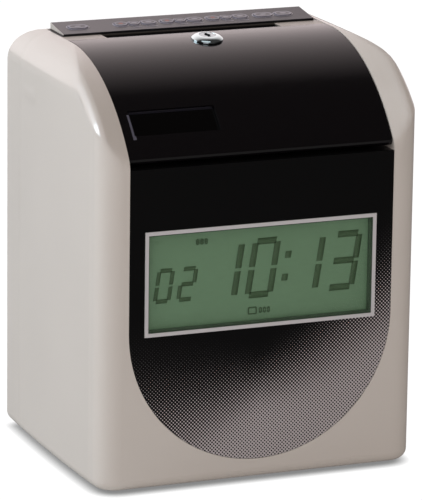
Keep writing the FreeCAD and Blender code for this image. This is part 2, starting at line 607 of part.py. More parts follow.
def make_cover():
    """Curved front cover with a round hinge edge, end flanges and a recess with its pane."""
    ends = ("0 - cover_half", "cover_half")
    plate = cut("cover_plate",
                sector("cover_outer", *ends, "cover_radius", "bead_angle", "cover_end_angle"),
                [sector("cover_inner", "0 - body_width", "body_width", "cover_radius - cover_wall", "0", "360")])
    bead = rod("cover_bead", "x", ends[0], "bead_y", "bead_z", "bead_radius", "2 * cover_half")
    band = sector("flange_band", *ends, "cover_radius - 1", "bead_angle + 5", "flange_end_angle")
    core = sector("flange_core", "0 - body_width", "body_width", "cover_radius - flange_depth", "0", "360")
    gap = box("flange_gap", "0 - cover_half + flange_wall", "cover_half - flange_wall",
              "front_y - 5", "rear_y", "0", "top_z + 5")
    flanges = cut("cover_flanges", band, [core, gap])
    window_core = sector("pane_core", "0 - body_width", "body_width",
                         "cover_radius - recess_depth - pane_thick - 1.4", "0", "360")
    low = "asin((bottom_z + recess_low - arc_z) / cover_radius) / 1 deg"
    high = "asin((bottom_z + recess_high - arc_z) / cover_radius) / 1 deg"
    backing = cut("recess_backing", sector("backing_slice", "recess_left - 1.5", "recess_right + 1.5",
                                           "cover_radius - 1", f"{low} - 1", f"{high} + 1"), [window_core])
    recess = cut("recess_cutter", sector("recess_slice", "recess_left", "recess_right",
                                         "cover_radius + 2", low, high),
                 [sector("recess_floor", "0 - body_width", "body_width",
                         "cover_radius - recess_depth - pane_thick", "0", "360")])
    barrel_hole = lock_place(rod("barrel_hole", "z", "0", "0", "0 - 20", "barrel_radius + 0.02", "30"))
    pin_bore = rod("cover_pin_bore", "x", "0 - panel_half", "bead_y", "bead_z",
                   "hinge_pin_radius + run_gap", "2 * panel_half")
    inner_rod = rod("cover_pin_core", "x", "0 - cover_half + hinge_pin_reach", "bead_y", "bead_z",
                    "bead_radius", "2 * (cover_half - hinge_pin_reach)")
    bores = cut("cover_pin_bores", pin_bore, [inner_rod])
    whole = fuse("cover_whole", [plate, bead, flanges, backing])
    node(cut("front_cover_solid", whole, [recess, barrel_hole, bores]), "front_cover")

    pane_low = f"{low} + 0.15"
    pane_high = f"{high} - 0.15"
    node(cut("pane", sector("pane_slice", "recess_left + fit_gap", "recess_right - fit_gap",
                            "cover_radius - recess_depth", pane_low, pane_high),
             [sector("pane_floor", "0 - body_width", "body_width",
                     "cover_radius - recess_depth - pane_thick", "0", "360")]), "cover_window")
    pins = []
    for side, x in (("left", "0 - panel_half - 4"), ("right", "cover_half - hinge_pin_reach + 0.5")):
        pins.append(rod(side + "_hinge_pin", "x", x, "bead_y", "bead_z", "hinge_pin_radius",
                        "hinge_pin_reach + 3.5 + side_gap"))
    node(group("hinge_pin_pair", pins), "hinge_pins")


def make_lock():
    """Cam lock: domed bezel with its barrel, plug with a keyway, cam, nut, and the catch on the strip."""
    dome = doc.addObject("PartDesign::Body", "lock_bezel_body")
    profile = [("plug_radius + run_gap", "0.05"), ("bezel_radius", "0.05"), ("bezel_radius", "0.7"),
               ("plug_radius + run_gap", "bezel_dome")]
    rise = "bezel_dome - 0.7"
    run = "bezel_radius - plug_radius - run_gap"
    profile[2] = ("bezel_radius", "0.7", f"(({run}) ^ 2 + ({rise}) ^ 2) / (2 * ({rise})) * 1.05", -1)
    turned = dome.newObject("PartDesign::Revolution", "bezel_turned")
    turned.Profile = new_sketch(dome, "XZ", profile)
    turned.ReferenceAxis = (turned.Profile[0], ["V_Axis"])
    turned.Angle = 360
    dome.Tip = turned
    barrel = cut("lock_barrel", rod("barrel_blank", "z", "0", "0", "0 - barrel_length", "barrel_radius",
                                    "barrel_length + 0.3"),
                 [rod("barrel_bore", "z", "0", "0", "0 - 20", "plug_radius + run_gap", "30")])
    whole = fuse("bezel_whole", [dome, barrel])
    node(lock_place(whole), "lock_bezel")

    plug_top = "bezel_dome - 0.1"
    plug = rod("plug_blank", "z", "0", "0", "0 - plug_end", "plug_radius", f"plug_end + {plug_top}")
    keyway = box("keyway", "0 - 0.7", "0.7", "0 - 2.8", "2.8", f"{plug_top} - 7", "5")
    core = rod("keyway_core", "z", "0", "0", f"{plug_top} - 7", "1.5", "10")
    node(lock_place(cut("plug", plug, [keyway, core])), "lock_plug")

    arm = prism("cam_arm", "XY", obround("(cam_length - 4) / 2", "0", "cam_length + 4", "8"),
                "0 - plug_end - cam_thick", "0 - plug_end")
    node(lock_place(arm), "lock_cam")

    hexagon = doc.addObject("Part::Prism", "nut_hexagon")
    hexagon.Polygon = 6
    bind(hexagon, Circumradius="barrel_radius + 2.6", Height="nut_thick",
         Placement__Base__z="0 - cover_wall - 0.6 - nut_thick")
    nut = cut("nut", hexagon, [rod("nut_hole", "z", "0", "0", "0 - 20", "barrel_radius + 0.02", "30")])
    node(lock_place(nut), "lock_nut")

    leg_y = "front_y + lock_y + barrel_length * sin(lock_angle) + barrel_radius + 4.5"
    leg = box("catch_leg", "lock_x - 8", "lock_x + 8", leg_y, f"{leg_y} + 1.3", "catch_z + 2", "deck_low")
    foot = box("catch_foot", "lock_x - 8", "lock_x + 8", f"{leg_y} - 4.2", f"{leg_y} + 1.3",
               "catch_z + 2", "catch_z + 3.3")
    top = box("catch_top", "lock_x - 8", "lock_x + 8", leg_y, f"{leg_y} + 2.5", "deck_low - 1.3", "deck_low")
    node(fuse("catch", [leg, foot, top]), "lock_catch")


# Panel and display

def panel_outline(half):
    """Panel with a straight top and a half-round foot, in X and Z."""
    left, right = f"0 - ({half})", half
    return [(left, "panel_top"), (left, "panel_arc_z", "half", -1), (right, "panel_arc_z"), (right, "panel_top")]


def make_display():
    """Printed front panel, display frame, window, glass, holder and board."""
    panel = prism("panel_blank", "XZ", panel_outline("panel_half - fit_gap"),
                  "0 - front_y - panel_thick", "0 - front_y")
    hole = box("panel_hole", "lcd_x - collar_width / 2 - fit_gap", "lcd_x + collar_width / 2 + fit_gap",
               "front_y - 5", "inner_front + 5", "lcd_z - collar_tall / 2 - fit_gap",
               "lcd_z + collar_tall / 2 + fit_gap")
    node(cut("panel", panel, [hole]), "front_panel")

    def centred(name, width, tall, y0, y1):
        """Block centred on the display."""
        return box(name, f"lcd_x - ({width}) / 2", f"lcd_x + ({width}) / 2", y0, y1,
                   f"lcd_z - ({tall}) / 2", f"lcd_z + ({tall}) / 2")

    rim = centred("frame_rim", "lcd_width", "lcd_tall", "front_y - frame_proud", "front_y")
    collar = centred("frame_collar", "collar_width", "collar_tall", "front_y - 0.1", "inner_front")
    view = centred("frame_view", "view_width", "view_tall", "front_y - 5", "front_y + window_thick - 0.2")
    lip = centred("frame_lip", "view_width - 1.6", "view_tall - 1.6", "front_y - 5", "inner_front + 5")
    node(cut("frame", fuse("frame_blank", [rim, collar]), [view, lip]), "lcd_frame")
    node(centred("window", "view_width - fit_gap", "view_tall - fit_gap",
                 "front_y - 0.3", "front_y + window_thick - 0.3"), "lcd_window")
    node(centred("glass", "lcd_width + 3", "lcd_tall + 3", "glass_y", "glass_y + glass_thick"), "lcd_glass")
    tray = centred("tray", "lcd_width + 6", "lcd_tall + 6", "glass_y", "board_y")
    seat = centred("tray_seat", "lcd_width + 3 + 2 * fit_gap", "lcd_tall + 3 + 2 * fit_gap",
                   "glass_y - 1", "glass_y + glass_thick")
    well = centred("tray_well", "lcd_width - 2", "lcd_tall - 2", "glass_y - 1", "board_y - 1.5")
    node(cut("holder", tray, [seat, well]), "lcd_holder")
    board = centred("display_board_blank", "lcd_width + 21", "lcd_tall + 16", "board_y", "board_back")
    holes = [rod(name + "_clear", "y", x, "board_y - 1", z, "small_screw_radius + 0.15", "5")
             for name, x, z in display_corners()]
    chips = [centred("display_chip", "14", "14", "board_back - 0.1", "board_back + 2"),
             box("display_plug", "lcd_x + 30", "lcd_x + 46", "board_back - 0.1", "board_back + 4",
                 "lcd_z - 20", "lcd_z - 14")]
    node(cut("display_board_holed", fuse("display_board_set", [board] + chips), holes), "display_board")
    screws = []
    for name, x, z in display_corners():
        head = rod(name + "_head", "y", x, "board_back", z, "small_screw_radius * 2", "1.8")
        shank = rod(name + "_shank", "y", x, "board_back - 7", z, "small_screw_radius", "7.2")
        screws.append(slotted(name + "_screw", head, shank, x, "board_back + 1", z, "small_screw_radius"))
    node(group("display_screw_set", screws), "display_screws")


# Key strip

def key_list():
    """Keys: name, place along X from the slot's centre, width and depth."""
    keys = [(name, x, width, "key_depth") for name, x, width in END_KEYS]
    for index, group_name in enumerate(GROUP_NAMES):
        for kind, shift, width in GROUP_KEYS:
            depth = "key_depth - 0.4" if kind == "small" else "key_depth"
            keys.append((f"{group_name}_{kind}_key", f"group_pitch * {index - 1} + {shift}", width, depth))
    return [(name, f"(({x}) * key_unit)", f"({width} * key_unit)", f"(({depth}) * key_unit)")
            for name, x, width, depth in keys]


def make_strip():
    """Deck behind the cover with the card slot, and the sloping strip with its key wells."""
    strip = doc.addObject("PartDesign::Body", "strip")
    deck = [("front_y + lip_front", "deck_low"), ("front_y + strip_rear", "deck_low"),
            ("front_y + strip_rear", "top_z - 0.2"), ("front_y + deck_front", "top_z - 0.2"),
            ("front_y + deck_front", "top_z - lip_drop"), ("front_y + lip_front", "top_z - lip_drop")]
    pad(strip, "YZ", deck, "0 - cover_half", "cover_half")
    raised = [("strip_y", "top_z - 0.5"), ("front_y + strip_rear", "top_z - 0.5"),
              ("front_y + strip_rear", "top_z + strip_rise"), ("strip_y", "strip_z")]
    pad(strip, "YZ", raised, "0 - strip_width / 2", "strip_width / 2")
    drop = "strip_wall / cos(strip_slope)"
    rise = "strip_wall * tan(strip_slope)"
    hollow = [("strip_y + strip_wall", "deck_low - 1"), ("front_y + strip_rear - strip_wall", "deck_low - 1"),
              ("front_y + strip_rear - strip_wall", f"top_z + strip_rise - {drop} - {rise}"),
              ("strip_y + strip_wall", f"strip_z - {drop} + {rise}")]
    pocket(strip, "YZ", hollow, "3 * key_unit - strip_width / 2", "strip_width / 2 - 3 * key_unit")
    mouth_y, mouth_end = "front_y + deck_front", "front_y + deck_front + slot_mouth"
    slot = [(mouth_y, "top_z + 5"), (mouth_y, "top_z - lip_drop"), ("chute_front_y", "deck_low - 0.5"),
            ("chute_rear_y", "deck_low - 0.5"), (mouth_end, "top_z - lip_drop"), (mouth_end, "top_z + 5")]
    pocket(strip, "YZ", slot, "slot_x - slot_width / 2", "slot_x + slot_width / 2")
    wells = []
    for name, x, width, depth in key_list():
        wells.append(slope_place(prism(name + "_well", "XY", obround(
            x, "key_row", f"{width} + 2 * key_gap", f"{depth} + 2 * key_gap"), "0 - 6", "4")))
    board_x0 = "3.8 * key_unit - slot_x - strip_width / 2"
    board_x1 = "strip_width / 2 - slot_x - 3.8 * key_unit"
    posts = [slope_place(box(side + "_strip_post", x0, x1, "3", "14.5", "0 - 8", "0 - 1"))
             for side, x0, x1 in (("left", board_x0, f"{board_x0} + 1.2 * key_unit"),
                                  ("right", f"{board_x1} - 3 * key_unit", board_x1))]
    node(fuse("strip_whole", [cut("strip_holed", strip, wells)] + posts), "control_strip")

    board = box("keypad_blank", board_x0, board_x1, "3", "14.5", "0 - 8 - board_thick", "0 - 8")
    node(slope_place(board), "keypad_board")
    switches = []
    for name, x, width, depth in key_list():
        body = box(name + "_switch", f"{x} - switch_size / 2", f"{x} + switch_size / 2",
                   "key_row - switch_size / 2", "key_row + switch_size / 2", "0 - 8", "0 - 5.8")
        plunger = rod(name + "_plunger", "z", x, "key_row", "0 - 5.9", "1.1", "0.6")
        switches.append(fuse(name + "_switch_whole", [body, plunger]))
    node(slope_place(group("switch_set", switches)), "key_switches")

    for name, x, width, depth in key_list():
        cap = prism(name + "_cap", "XY", obround(x, "key_row", width, depth), "0 - strip_wall - 1", "key_proud")
        tab = box(name + "_tab", f"{x} - ({width}) / 2 + 0.6", f"{x} + ({width}) / 2 - 0.6",
                  f"key_row - ({depth}) / 2 - 0.9", f"key_row + ({depth}) / 2 + 0.9",
                  "0 - strip_wall - 1", "0 - strip_wall - 0.1")
        stem = rod(name + "_stem", "z", x, "key_row", "0 - 5.3 + key_travel + 0.2", "1",
                   "5.3 - key_travel - 0.2 - strip_wall - 0.5")
        node(slope_place(fuse(name + "_whole", [cap, tab, stem])), name)


# Card path

def make_chute():
    """Two plates and two rails that make the card's shaft, its stop, and the platen."""
    low, high = "chute_low", "chute_high"
    left, right = "0 - frame_half", "frame_half"
    print_low, print_high = "print_z - ribbon_tall / 2 + 1", "print_z + ribbon_tall / 2 - 1"

    def roller_windows(side, y, radius):
        """Gaps in a plate for the two rollers."""
        return [box(f"{side}_window_{end}", f"slot_x {sign} roller_spread - roller_width / 2 - 1",
                    f"slot_x {sign} roller_spread + roller_width / 2 + 1", f"{y} - 5", f"{y} + 5",
                    f"feed_z - {radius} - 1", f"feed_z + {radius} + 1")
                for end, sign in (("left", "-"), ("right", "+"))]

    front = box("front_plate_blank", left, right, "chute_front_y - sheet_thick", "chute_front_y", low, high)
    sight = box("print_window", "slot_x - slot_width / 2 + 8", "slot_x + slot_width / 2 - 8", "chute_front_y - 5", "chute_front_y + 1",
                print_low, print_high)
    node(cut("front_plate", front, [sight] + roller_windows("front", "chute_front_y", "pinch_roller_radius")),
         "chute_front_plate")
    rear = box("rear_plate_blank", left, right, "chute_rear_y", "chute_rear_y + sheet_thick", low, high)
    bed = box("platen_window", "slot_x - slot_width / 2 + 6", "slot_x + slot_width / 2 - 6", "chute_rear_y - 1", "chute_rear_y + 5",
              print_low, print_high)
    node(cut("rear_plate", rear, [bed] + roller_windows("rear", "chute_rear_y", "roller_radius")),
         "chute_rear_plate")
    rails = [box("left_rail", left, "slot_x - slot_width / 2 - 0.3", "chute_front_y", "chute_rear_y", low, high),
             box("right_rail", "slot_x + slot_width / 2 + 0.3", right, "chute_front_y", "chute_rear_y", low, high)]
    node(group("rail_pair", rails), "chute_rails")
    node(box("stop_bar", "slot_x - slot_width / 2 - 0.3", "slot_x + slot_width / 2 + 0.3",
             "chute_front_y", "chute_rear_y", low, "chute_low + 6"), "card_stop")
    face = box("platen_face", "slot_x - slot_width / 2 + 6.2", "slot_x + slot_width / 2 - 6.2", "chute_rear_y", "chute_rear_y + 6",
               f"{print_low} + 0.2", f"{print_high} - 0.2")
    back = box("platen_back", "slot_x - slot_width / 2 + 2", "slot_x + slot_width / 2 - 2", "chute_rear_y + sheet_thick", "chute_rear_y + 6",
               f"{print_low} - 3", f"{print_high} + 3")
    node(fuse("platen_whole", [face, back]), "platen")


def make_gear(name, teeth, bore):
    """Spur gear along +X from the origin; tooth zero points along +Z."""
    module, width = number("gear_module"), number("gear_width")
    pitch = module * teeth / 2
    base = pitch * math.cos(math.radians(20))
    tip, root = pitch + module, pitch - 1.25 * module
    half_tooth = math.pi / (2 * teeth) - 0.06 / pitch
    involute_at_pitch = math.tan(math.radians(20)) - math.radians(20)
    radii = [max(base, root) + (tip - max(base, root)) * step / 4 for step in range(5)]
    flank = []
    for radius in radii:
        lean = math.acos(min(base / radius, 1))
        flank.append((radius, half_tooth + involute_at_pitch - (math.tan(lean) - lean)))
    corners = []
    for index in range(teeth):
        middle = 2 * math.pi * index / teeth
        rising = [(root, flank[0][1])] + flank
        outline = [(r, middle - a) for r, a in rising] + [(r, middle + a) for r, a in reversed(rising)]
        corners += [Vector(0, -r * math.sin(a), r * math.cos(a)) for r, a in outline]
    wire = Part.makePolygon(corners + [corners[0]])
    solid = Part.Face(wire).extrude(Vector(width, 0, 0))
    made = doc.addObject("Part::Feature", name)
    made.Shape = solid.cut(Part.makeCylinder(bore, width + 2, Vector(-1, 0, 0), Vector(1, 0, 0)))
    return made


def spun(thing, x, y, z, turn):
    """Place a piece built along +X from the origin, turned about its axis."""
    thing.Placement = FreeCAD.Placement(Vector(), Rotation(Vector(1, 0, 0), 1))
    return bind(thing, Placement__Rotation__Angle=turn, Placement__Base__x=x,
                Placement__Base__y=y, Placement__Base__z=z)


def make_feed():
    """Feed shaft with its rollers and gear, pinch shaft with its rollers, motor and pinion."""
    left_end, span = "0 - frame_out - 1", "frame_out + 1 + gear_x + gear_width"
    shaft = rod("feed_shaft_rod", "x", left_end, "feed_y", "feed_z", "feed_shaft_radius", span)
    node(group("feed_shaft_set", [shaft]), "feed_shaft")
    rollers, pinches = [], []
    for end, sign in (("left", "-"), ("right", "+")):
        x = f"slot_x {sign} roller_spread - roller_width / 2"
        rollers.append(cut(end + "_roller", rod(end + "_roller_blank", "x", x, "feed_y", "feed_z",
                                                "roller_radius", "roller_width"), [shaft]))
        pinches.append(rod(end + "_pinch_blank", "x", x, "pinch_y", "feed_z",
                           "pinch_roller_radius", "roller_width"))
    node(group("roller_pair", rollers), "feed_rollers")
    pinch = rod("pinch_rod", "x", left_end, "pinch_y", "feed_z", "pinch_shaft_radius", "2 * frame_out + 2")
    node(group("pinch_shaft_set", [pinch]), "pinch_shaft")
    node(group("pinch_pair", [cut(blank.Name + "_bored", blank, [pinch]) for blank in pinches]),
         "pinch_rollers")

    # The gear's tooth zero points down the line of centres and the pinion's gap faces it
    line = "0 - 90 - motor_angle"
    gear = make_gear("feed_gear_teeth", int(number("gear_teeth")), number("feed_shaft_radius"))
    node(spun(gear, "gear_x", "feed_y", "feed_z", line), "feed_gear")
    teeth = make_gear("pinion_teeth_ring", int(number("pinion_teeth")), 1.4)
    spun(teeth, "gear_x", "motor_y", "motor_z", f"{line} + 180 + 180 / pinion_teeth")
    axle = rod("pinion_axle", "x", "frame_half - 6", "motor_y", "motor_z", "1.5", "gear_x - frame_half + 6 + gear_width")
    node(fuse("pinion_whole", [teeth, axle]), "motor_pinion")
    node(make_motor("feed", "frame_half - motor_length", "motor_y", "motor_z", "frame_half - 7", "1.55"),
         "feed_motor")


def make_motor(name, x, y, z, bore_x, bore):
    """Small stepping motor along X with a bore for its shaft and a plug block."""
    can = rod(name + "_can", "x", x, y, z, "motor_radius", "motor_length")
    step = rod(name + "_step", "x", f"{x} + 2", y, z, "motor_radius + 1", "motor_length - 4")
    plug = box(name + "_plug", f"{x} + 4", f"{x} + 12", f"{y} - 4", f"{y} + 4",
               f"{z} - motor_radius - 4", f"{z} - motor_radius + 2")
    hole = rod(name + "_shaft_bore", "x", bore_x, y, z, bore, "8")
    return cut(name + "_motor_whole", fuse(name + "_motor_blank", [can, step, plug]), [hole])


# Printer

def make_printer():
    """Guide rods, carriage with the print head, screw with its motor, cassette, ribbon and knob."""
    ends, span = "0 - frame_out", "2 * frame_out"
    rods = [rod("rear_guide", "x", ends, "rod_rear_y", "rod_z", "rod_radius", span),
            rod("front_guide", "x", ends, "rod_front_y", "rod_z", "rod_radius", span)]
    node(group("guide_pair", rods), "guide_rods")
    low, high = "rod_z - 6", "print_z - 6"
    left, right = "slot_x - carriage_width / 2", "slot_x + carriage_width / 2"
    block = box("carriage_block", left, right, "rod_front_y - 5.5", "rod_rear_y + 5.5", low, "rod_z + 6")
    bed = box("carriage_bed", "slot_x - head_width / 2 - 3", "slot_x + head_width / 2 + 3",
              "rod_front_y + 4", "rod_rear_y + 5.5", "rod_z + 5", high)
    bores = [rod(f"carriage_bore_{i}", "x", "0 - body_width", y, "rod_z", f"{radius} + run_gap", "2 * body_width")
             for i, (y, radius) in enumerate((("rod_rear_y", "rod_radius"), ("rod_front_y", "rod_radius"),
                                              ("screw_y", "screw_radius")))]
    node(cut("carriage_whole", fuse("carriage_blank", [block, bed]), bores), "print_carriage")
    head = box("head_block", "slot_x - head_width / 2", "slot_x + head_width / 2",
               "rod_front_y + 6", "rod_rear_y + 6", "print_z - 6", "print_z + 6")
    fins = [box(f"fin_{i}", "slot_x - head_width / 2 - 1.5", "slot_x + head_width / 2 + 1.5",
                f"rod_front_y + {7 + 3.5 * i}", f"rod_front_y + {8.5 + 3.5 * i}", "print_z - 6", "print_z + 6.8")
            for i in range(5)]
    nose = box("head_nose", "slot_x - nose_width / 2", "slot_x + nose_width / 2",
               "rod_rear_y + 5", "ribbon_y - 0.5", "print_z - 3.5", "print_z + 3.5")
    node(fuse("head_whole", [head, nose] + fins), "print_head")
    worm = rod("screw_blank", "x", "0 - frame_out - 7", "screw_y", "rod_z", "screw_radius",
               "2 * frame_out + 8")
    node(group("lead_screw_set", [worm]), "lead_screw")
    node(make_motor("carriage", "0 - frame_out - motor_length", "screw_y", "rod_z", "0 - frame_out - 7.5",
                    "screw_radius + run_gap"), "carriage_motor")

    y0, y1 = "ribbon_y - 4 - cassette_depth", "ribbon_y - 4"
    base, top = "cassette_z", "cassette_z + cassette_height"
    half = "frame_half - 1"
    shell = box("cassette_block", f"0 - ({half})", half, y0, y1, base, top)
    arms = [box(side + "_arm", x0, x1, "ribbon_y - 8", "ribbon_y + 0.2", "print_z - ribbon_tall / 2", top)
            for side, x0, x1 in (("left", "0 - frame_half + 1", "0 - frame_half + 7"),
                                 ("right", "frame_half - 7", "frame_half - 1"))]
    axle_hole = rod("knob_hole", "z", "knob_x", f"({y0}) + 14", f"{top} - 8", "2.05", "20")
    grooves = [box(f"cassette_groove_{i}", f"{10 + 4 * i}", f"{12 + 4 * i}", f"({y0}) - 1", f"({y0}) + 16",
                   f"{top} - 0.6", f"{top} + 1") for i in range(8)]
    node(cut("cassette_whole", fuse("cassette_blank", [shell] + arms), [axle_hole] + grooves), "ribbon_cassette")
    node(box("ribbon", "0 - frame_half + 7", "frame_half - 7", "ribbon_y - ribbon_thick", "ribbon_y",
             "print_z - ribbon_tall / 2", "print_z + ribbon_tall / 2"), "ink_ribbon")
    knob = rod("knob_disc", "z", "knob_x", f"({y0}) + 14", f"{top} + 0.3", "knob_radius", "knob_height")
    axle = rod("knob_axle", "z", "knob_x", f"({y0}) + 14", f"{top} - 7.5", "2", "9")
    grip = box("knob_grip", "knob_x - knob_radius + 1", "knob_x + knob_radius - 1", f"({y0}) + 13", f"({y0}) + 15",
               f"{top} + knob_height", f"{top} + knob_height + 2")
    node(fuse("knob_whole", [knob, axle, grip]), "ribbon_knob")


# Frame and electrics

def make_frames():
    """Sheet side frames with rear flanges, holes for the shafts, and their screws."""
    for side, sign, x0, x1 in (("left", "0 -", "0 - frame_out", "0 - frame_half"),
                               ("right", "", "frame_half", "frame_out")):
        foot = "bottom_z + foot_pad + 0.5 + seat_gap"
        outline = [("frame_front", foot), ("frame_rear + sheet_thick", foot),
                   ("frame_rear + sheet_thick", "bottom_z + frame_top"), ("screw_y", "bottom_z + frame_top"),
                   ("frame_front", "rod_z + 24")]
        sheet = prism(side + "_sheet", "YZ", outline, x0, x1)
        flange_ends = ("0 - frame_out - 10", "0 - frame_half") if side == "left" else ("frame_half", "frame_out + 10")
        flange = box(side + "_flange", *flange_ends, "frame_rear", "frame_rear + sheet_thick",
                     "floor_z + 24", "bottom_z + frame_top - 12")
        clear = [("feed_y", "feed_z", "feed_shaft_radius + run_gap"), ("pinch_y", "feed_z", "pinch_shaft_radius + run_gap"),
                 ("rod_rear_y", "rod_z", "rod_radius"), ("rod_front_y", "rod_z", "rod_radius"),
                 ("screw_y", "rod_z", "screw_radius + run_gap")]
        if side == "right":
            clear.append(("motor_y", "motor_z", "1.55"))
        holes = [rod(f"{side}_hole_{i}", "x", f"{x0} - 1", y, z, radius, "sheet_thick + 2")
                 for i, (y, z, radius) in enumerate(clear)]
        holes += [rod(name + "_clear", "y", x, "frame_rear - 1", z, "small_screw_radius + 0.15", "5")
                  for name, x, z in frame_corners() if side in name]
        node(cut(side + "_frame_whole", fuse(side + "_frame_blank", [sheet, flange]), holes), side + "_side_frame")
    screws = []
    for name, x, z in frame_corners():
        head = rod(name + "_head", "y", x, "frame_rear - 1.8", z, "small_screw_radius * 2", "1.8")
        shank = rod(name + "_shank", "y", x, "frame_rear - 0.2", z, "small_screw_radius", "7")
        screws.append(fuse(name + "_screw", [head, shank]))
    node(group("frame_screw_set", screws), "frame_screws")


def make_electrics():
    """Main board, backup battery and power socket."""
    face = "inner_rear - 6"
    board = box("main_blank", "0 - board_half", "board_half", f"{face} - board_thick", face, "bottom_z + 86", "bottom_z + 156")
    holes = [rod(name + "_clear", "y", x, f"{face} - 5", z, "small_screw_radius + 0.15", "10")
             for name, x, z in board_corners()]
    front = f"{face} - board_thick"
    parts = [box("processor", "0 - 10", "8", f"{front} - 2", f"{front} + 0.1", "bottom_z + 112", "bottom_z + 130"),
             box("driver", "20", "34", f"{front} - 2.5", f"{front} + 0.1", "bottom_z + 96", "bottom_z + 104"),
             box("plug_row", "0 - 30", "10", f"{front} - 6", f"{front} + 0.1", "bottom_z + 142", "bottom_z + 147"),
             rod("capacitor", "y", "0 - 30", f"{front} - 9", "bottom_z + 106", "5", "9.1"),
             rod("buzzer", "y", "30", f"{front} - 6", "bottom_z + 130", "6", "6.1")]
    node(cut("main_board_whole", fuse("main_board_set", [board] + parts), holes), "main_board")

    cells = [rod(f"cell_{i}", "x", "0 - battery_width / 2", f"frame_front + 9 + {i} * (2 * battery_cell - 0.6)",
                 "floor_z + battery_cell + 0.1", "battery_cell", "battery_width") for i in range(3)]
    node(fuse("battery_pack", cells), "backup_battery")

    outer = rod("jack_nose", "y", "jack_x", "inner_rear - 2", "jack_z", "jack_bore + 1.2", "case_wall + 2")
    body = box("jack_body", "jack_x - 5.5", "jack_x + 5.5", "inner_rear - 13", "inner_rear - 0.05",
               "jack_z - 5.5", "jack_z + 5.5")
    bore = rod("jack_hole_bore", "y", "jack_x", "rear_y - jack_depth", "jack_z", "jack_bore", "jack_depth + 5")
    node(cut("jack_whole", fuse("jack_blank", [outer, body]), [bore]), "power_jack")


def export_nodes():
    """Check each finished piece and write it to its own file."""
    doc.recompute()
    os.makedirs("parts", exist_ok=True)
    for thing in doc.Objects:
        if "Invalid" in thing.State or "Error" in thing.State:
            raise RuntimeError(f"{thing.Name} did not build")
    for thing in nodes:
        if thing.Shape.isNull() or not thing.Shape.isValid():
            raise RuntimeError(f"{thing.Label} has no sound shape")
        thing.Shape.exportStep(f"parts/{thing.Label}.step")
        print(thing.Label, len(thing.Shape.Solids), round(thing.Shape.Volume))


fill_sheet()
make_case()
make_cover()
make_lock()
make_display()
make_strip()
make_chute()
make_feed()
make_printer()
make_frames()
make_electrics()
export_nodes()
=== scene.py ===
import math

import bmesh
import bpy
from mathutils import Matrix, Vector


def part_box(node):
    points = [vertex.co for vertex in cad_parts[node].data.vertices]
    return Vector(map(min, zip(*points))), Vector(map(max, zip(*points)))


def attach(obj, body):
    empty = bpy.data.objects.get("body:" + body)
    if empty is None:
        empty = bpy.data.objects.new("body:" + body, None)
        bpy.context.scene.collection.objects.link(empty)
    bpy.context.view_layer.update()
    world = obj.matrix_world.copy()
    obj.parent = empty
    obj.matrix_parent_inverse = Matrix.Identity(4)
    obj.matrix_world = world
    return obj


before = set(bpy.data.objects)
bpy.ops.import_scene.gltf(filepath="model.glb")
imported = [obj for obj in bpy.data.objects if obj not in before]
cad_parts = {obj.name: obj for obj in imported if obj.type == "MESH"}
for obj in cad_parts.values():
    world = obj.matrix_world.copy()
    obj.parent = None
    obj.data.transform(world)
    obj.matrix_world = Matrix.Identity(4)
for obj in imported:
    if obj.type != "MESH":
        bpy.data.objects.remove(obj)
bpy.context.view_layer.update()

bl_info = {
    "name": "Time recorder",
    "version": (1, 0, 0),
    "blender": (4, 5, 0),
    "location": "3D View > Sidebar > Recorder",
    "description": "Dresses a table-top card recorder: case, cover, printed panel, display and keys",
    "category": "Object",
}

# Kinds of node that are used often. A mix takes its share at socket 0 and two colours at 6 and 7, which
# it gives at output 2, or two vectors at 4 and 5, which it gives at output 1.
MATHS, RAMP, MIX = "ShaderNodeMath", "ShaderNodeMapRange", "ShaderNodeMix"
NOISE, BUMP = "ShaderNodeTexNoise", "ShaderNodeBump"

# Noise cells to the metre, for skins of 0.67, 0.55 and 0.4 mm and specks of 1.4 mm. The real ones are
# finer and are drawn this coarse so that they show.
PAINT_CELLS = 1500.0
SATIN_CELLS = 1800.0
FILM_CELLS = 2500.0
DUST_CELLS = 700.0
# Period of the ribbon's weave as drawn, in metres
THREAD_PITCH = 0.0005

# Places taken from the frame, in metres
FRONT_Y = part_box("front_panel")[0].y
GLASS_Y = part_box("lcd_glass")[0].y
PANE_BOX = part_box("cover_window")
KEYS = sorted((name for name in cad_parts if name.endswith("_key")),
              key=lambda name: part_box(name)[0].x)

# The sloping strip: its rear upper edge is the machine's highest, and the deck lies 3.1 mm below that
STRIP_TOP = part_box("control_strip")[1]
TOP_Z = STRIP_TOP.z - 0.0031
STRIP_DEPTH = 0.0175
STRIP_RISE = 0.0024
STRIP_HALF = 0.0633
STRIP_SLOPE = math.atan(STRIP_RISE / STRIP_DEPTH)
STRIP_FRONT = Vector((0, STRIP_TOP.y - STRIP_DEPTH, STRIP_TOP.z - STRIP_RISE))
# Ways up the slope to the keys' middles and to the printed bars, and the height of the ink
KEY_ROW = 0.0086
BAR_ROW = 0.0036
INK_LIFT = 0.00004
# Depths of the keys along the slope, by how much their outlines are larger, and where their rims begin
KEY_DEEP = 0.0052
SMALL_KEY_DEEP = 0.0048
OUTLINE_GAP = 0.0012
KEY_RIM = 0.0024
# The bars printed before some keys: their share of the key's width, and their line
BAR_SHARE = 0.8
BAR_LINE = 0.0003

# Where the rounding of the cheeks fades in, out from the middle, upwards and forwards, and its radius
CHEEK_X = (0.0665, 0.0695)
CHEEK_Z = (0.135, 0.150)
CHEEK_Y = (0.041, 0.035)
CHEEK_SOFT = 0.007
# The ledge between the cover and the panel, painted black as painted shade under the cover's lower edge: its
# half width, its lower and upper end, its rear
SHADED_LEDGE_X = 0.0645
SHADED_LEDGE_Z = (0.150, 0.165)
SHADED_LEDGE_Y = -0.048
# The panel's dots, fitted to the photo. They lie under a curve with this height at the middle, this climb
# to the right and this bow right of the middle.
INK_EDGE = 0.0495
INK_CLIMB = 0.27
INK_BOW = 5.5
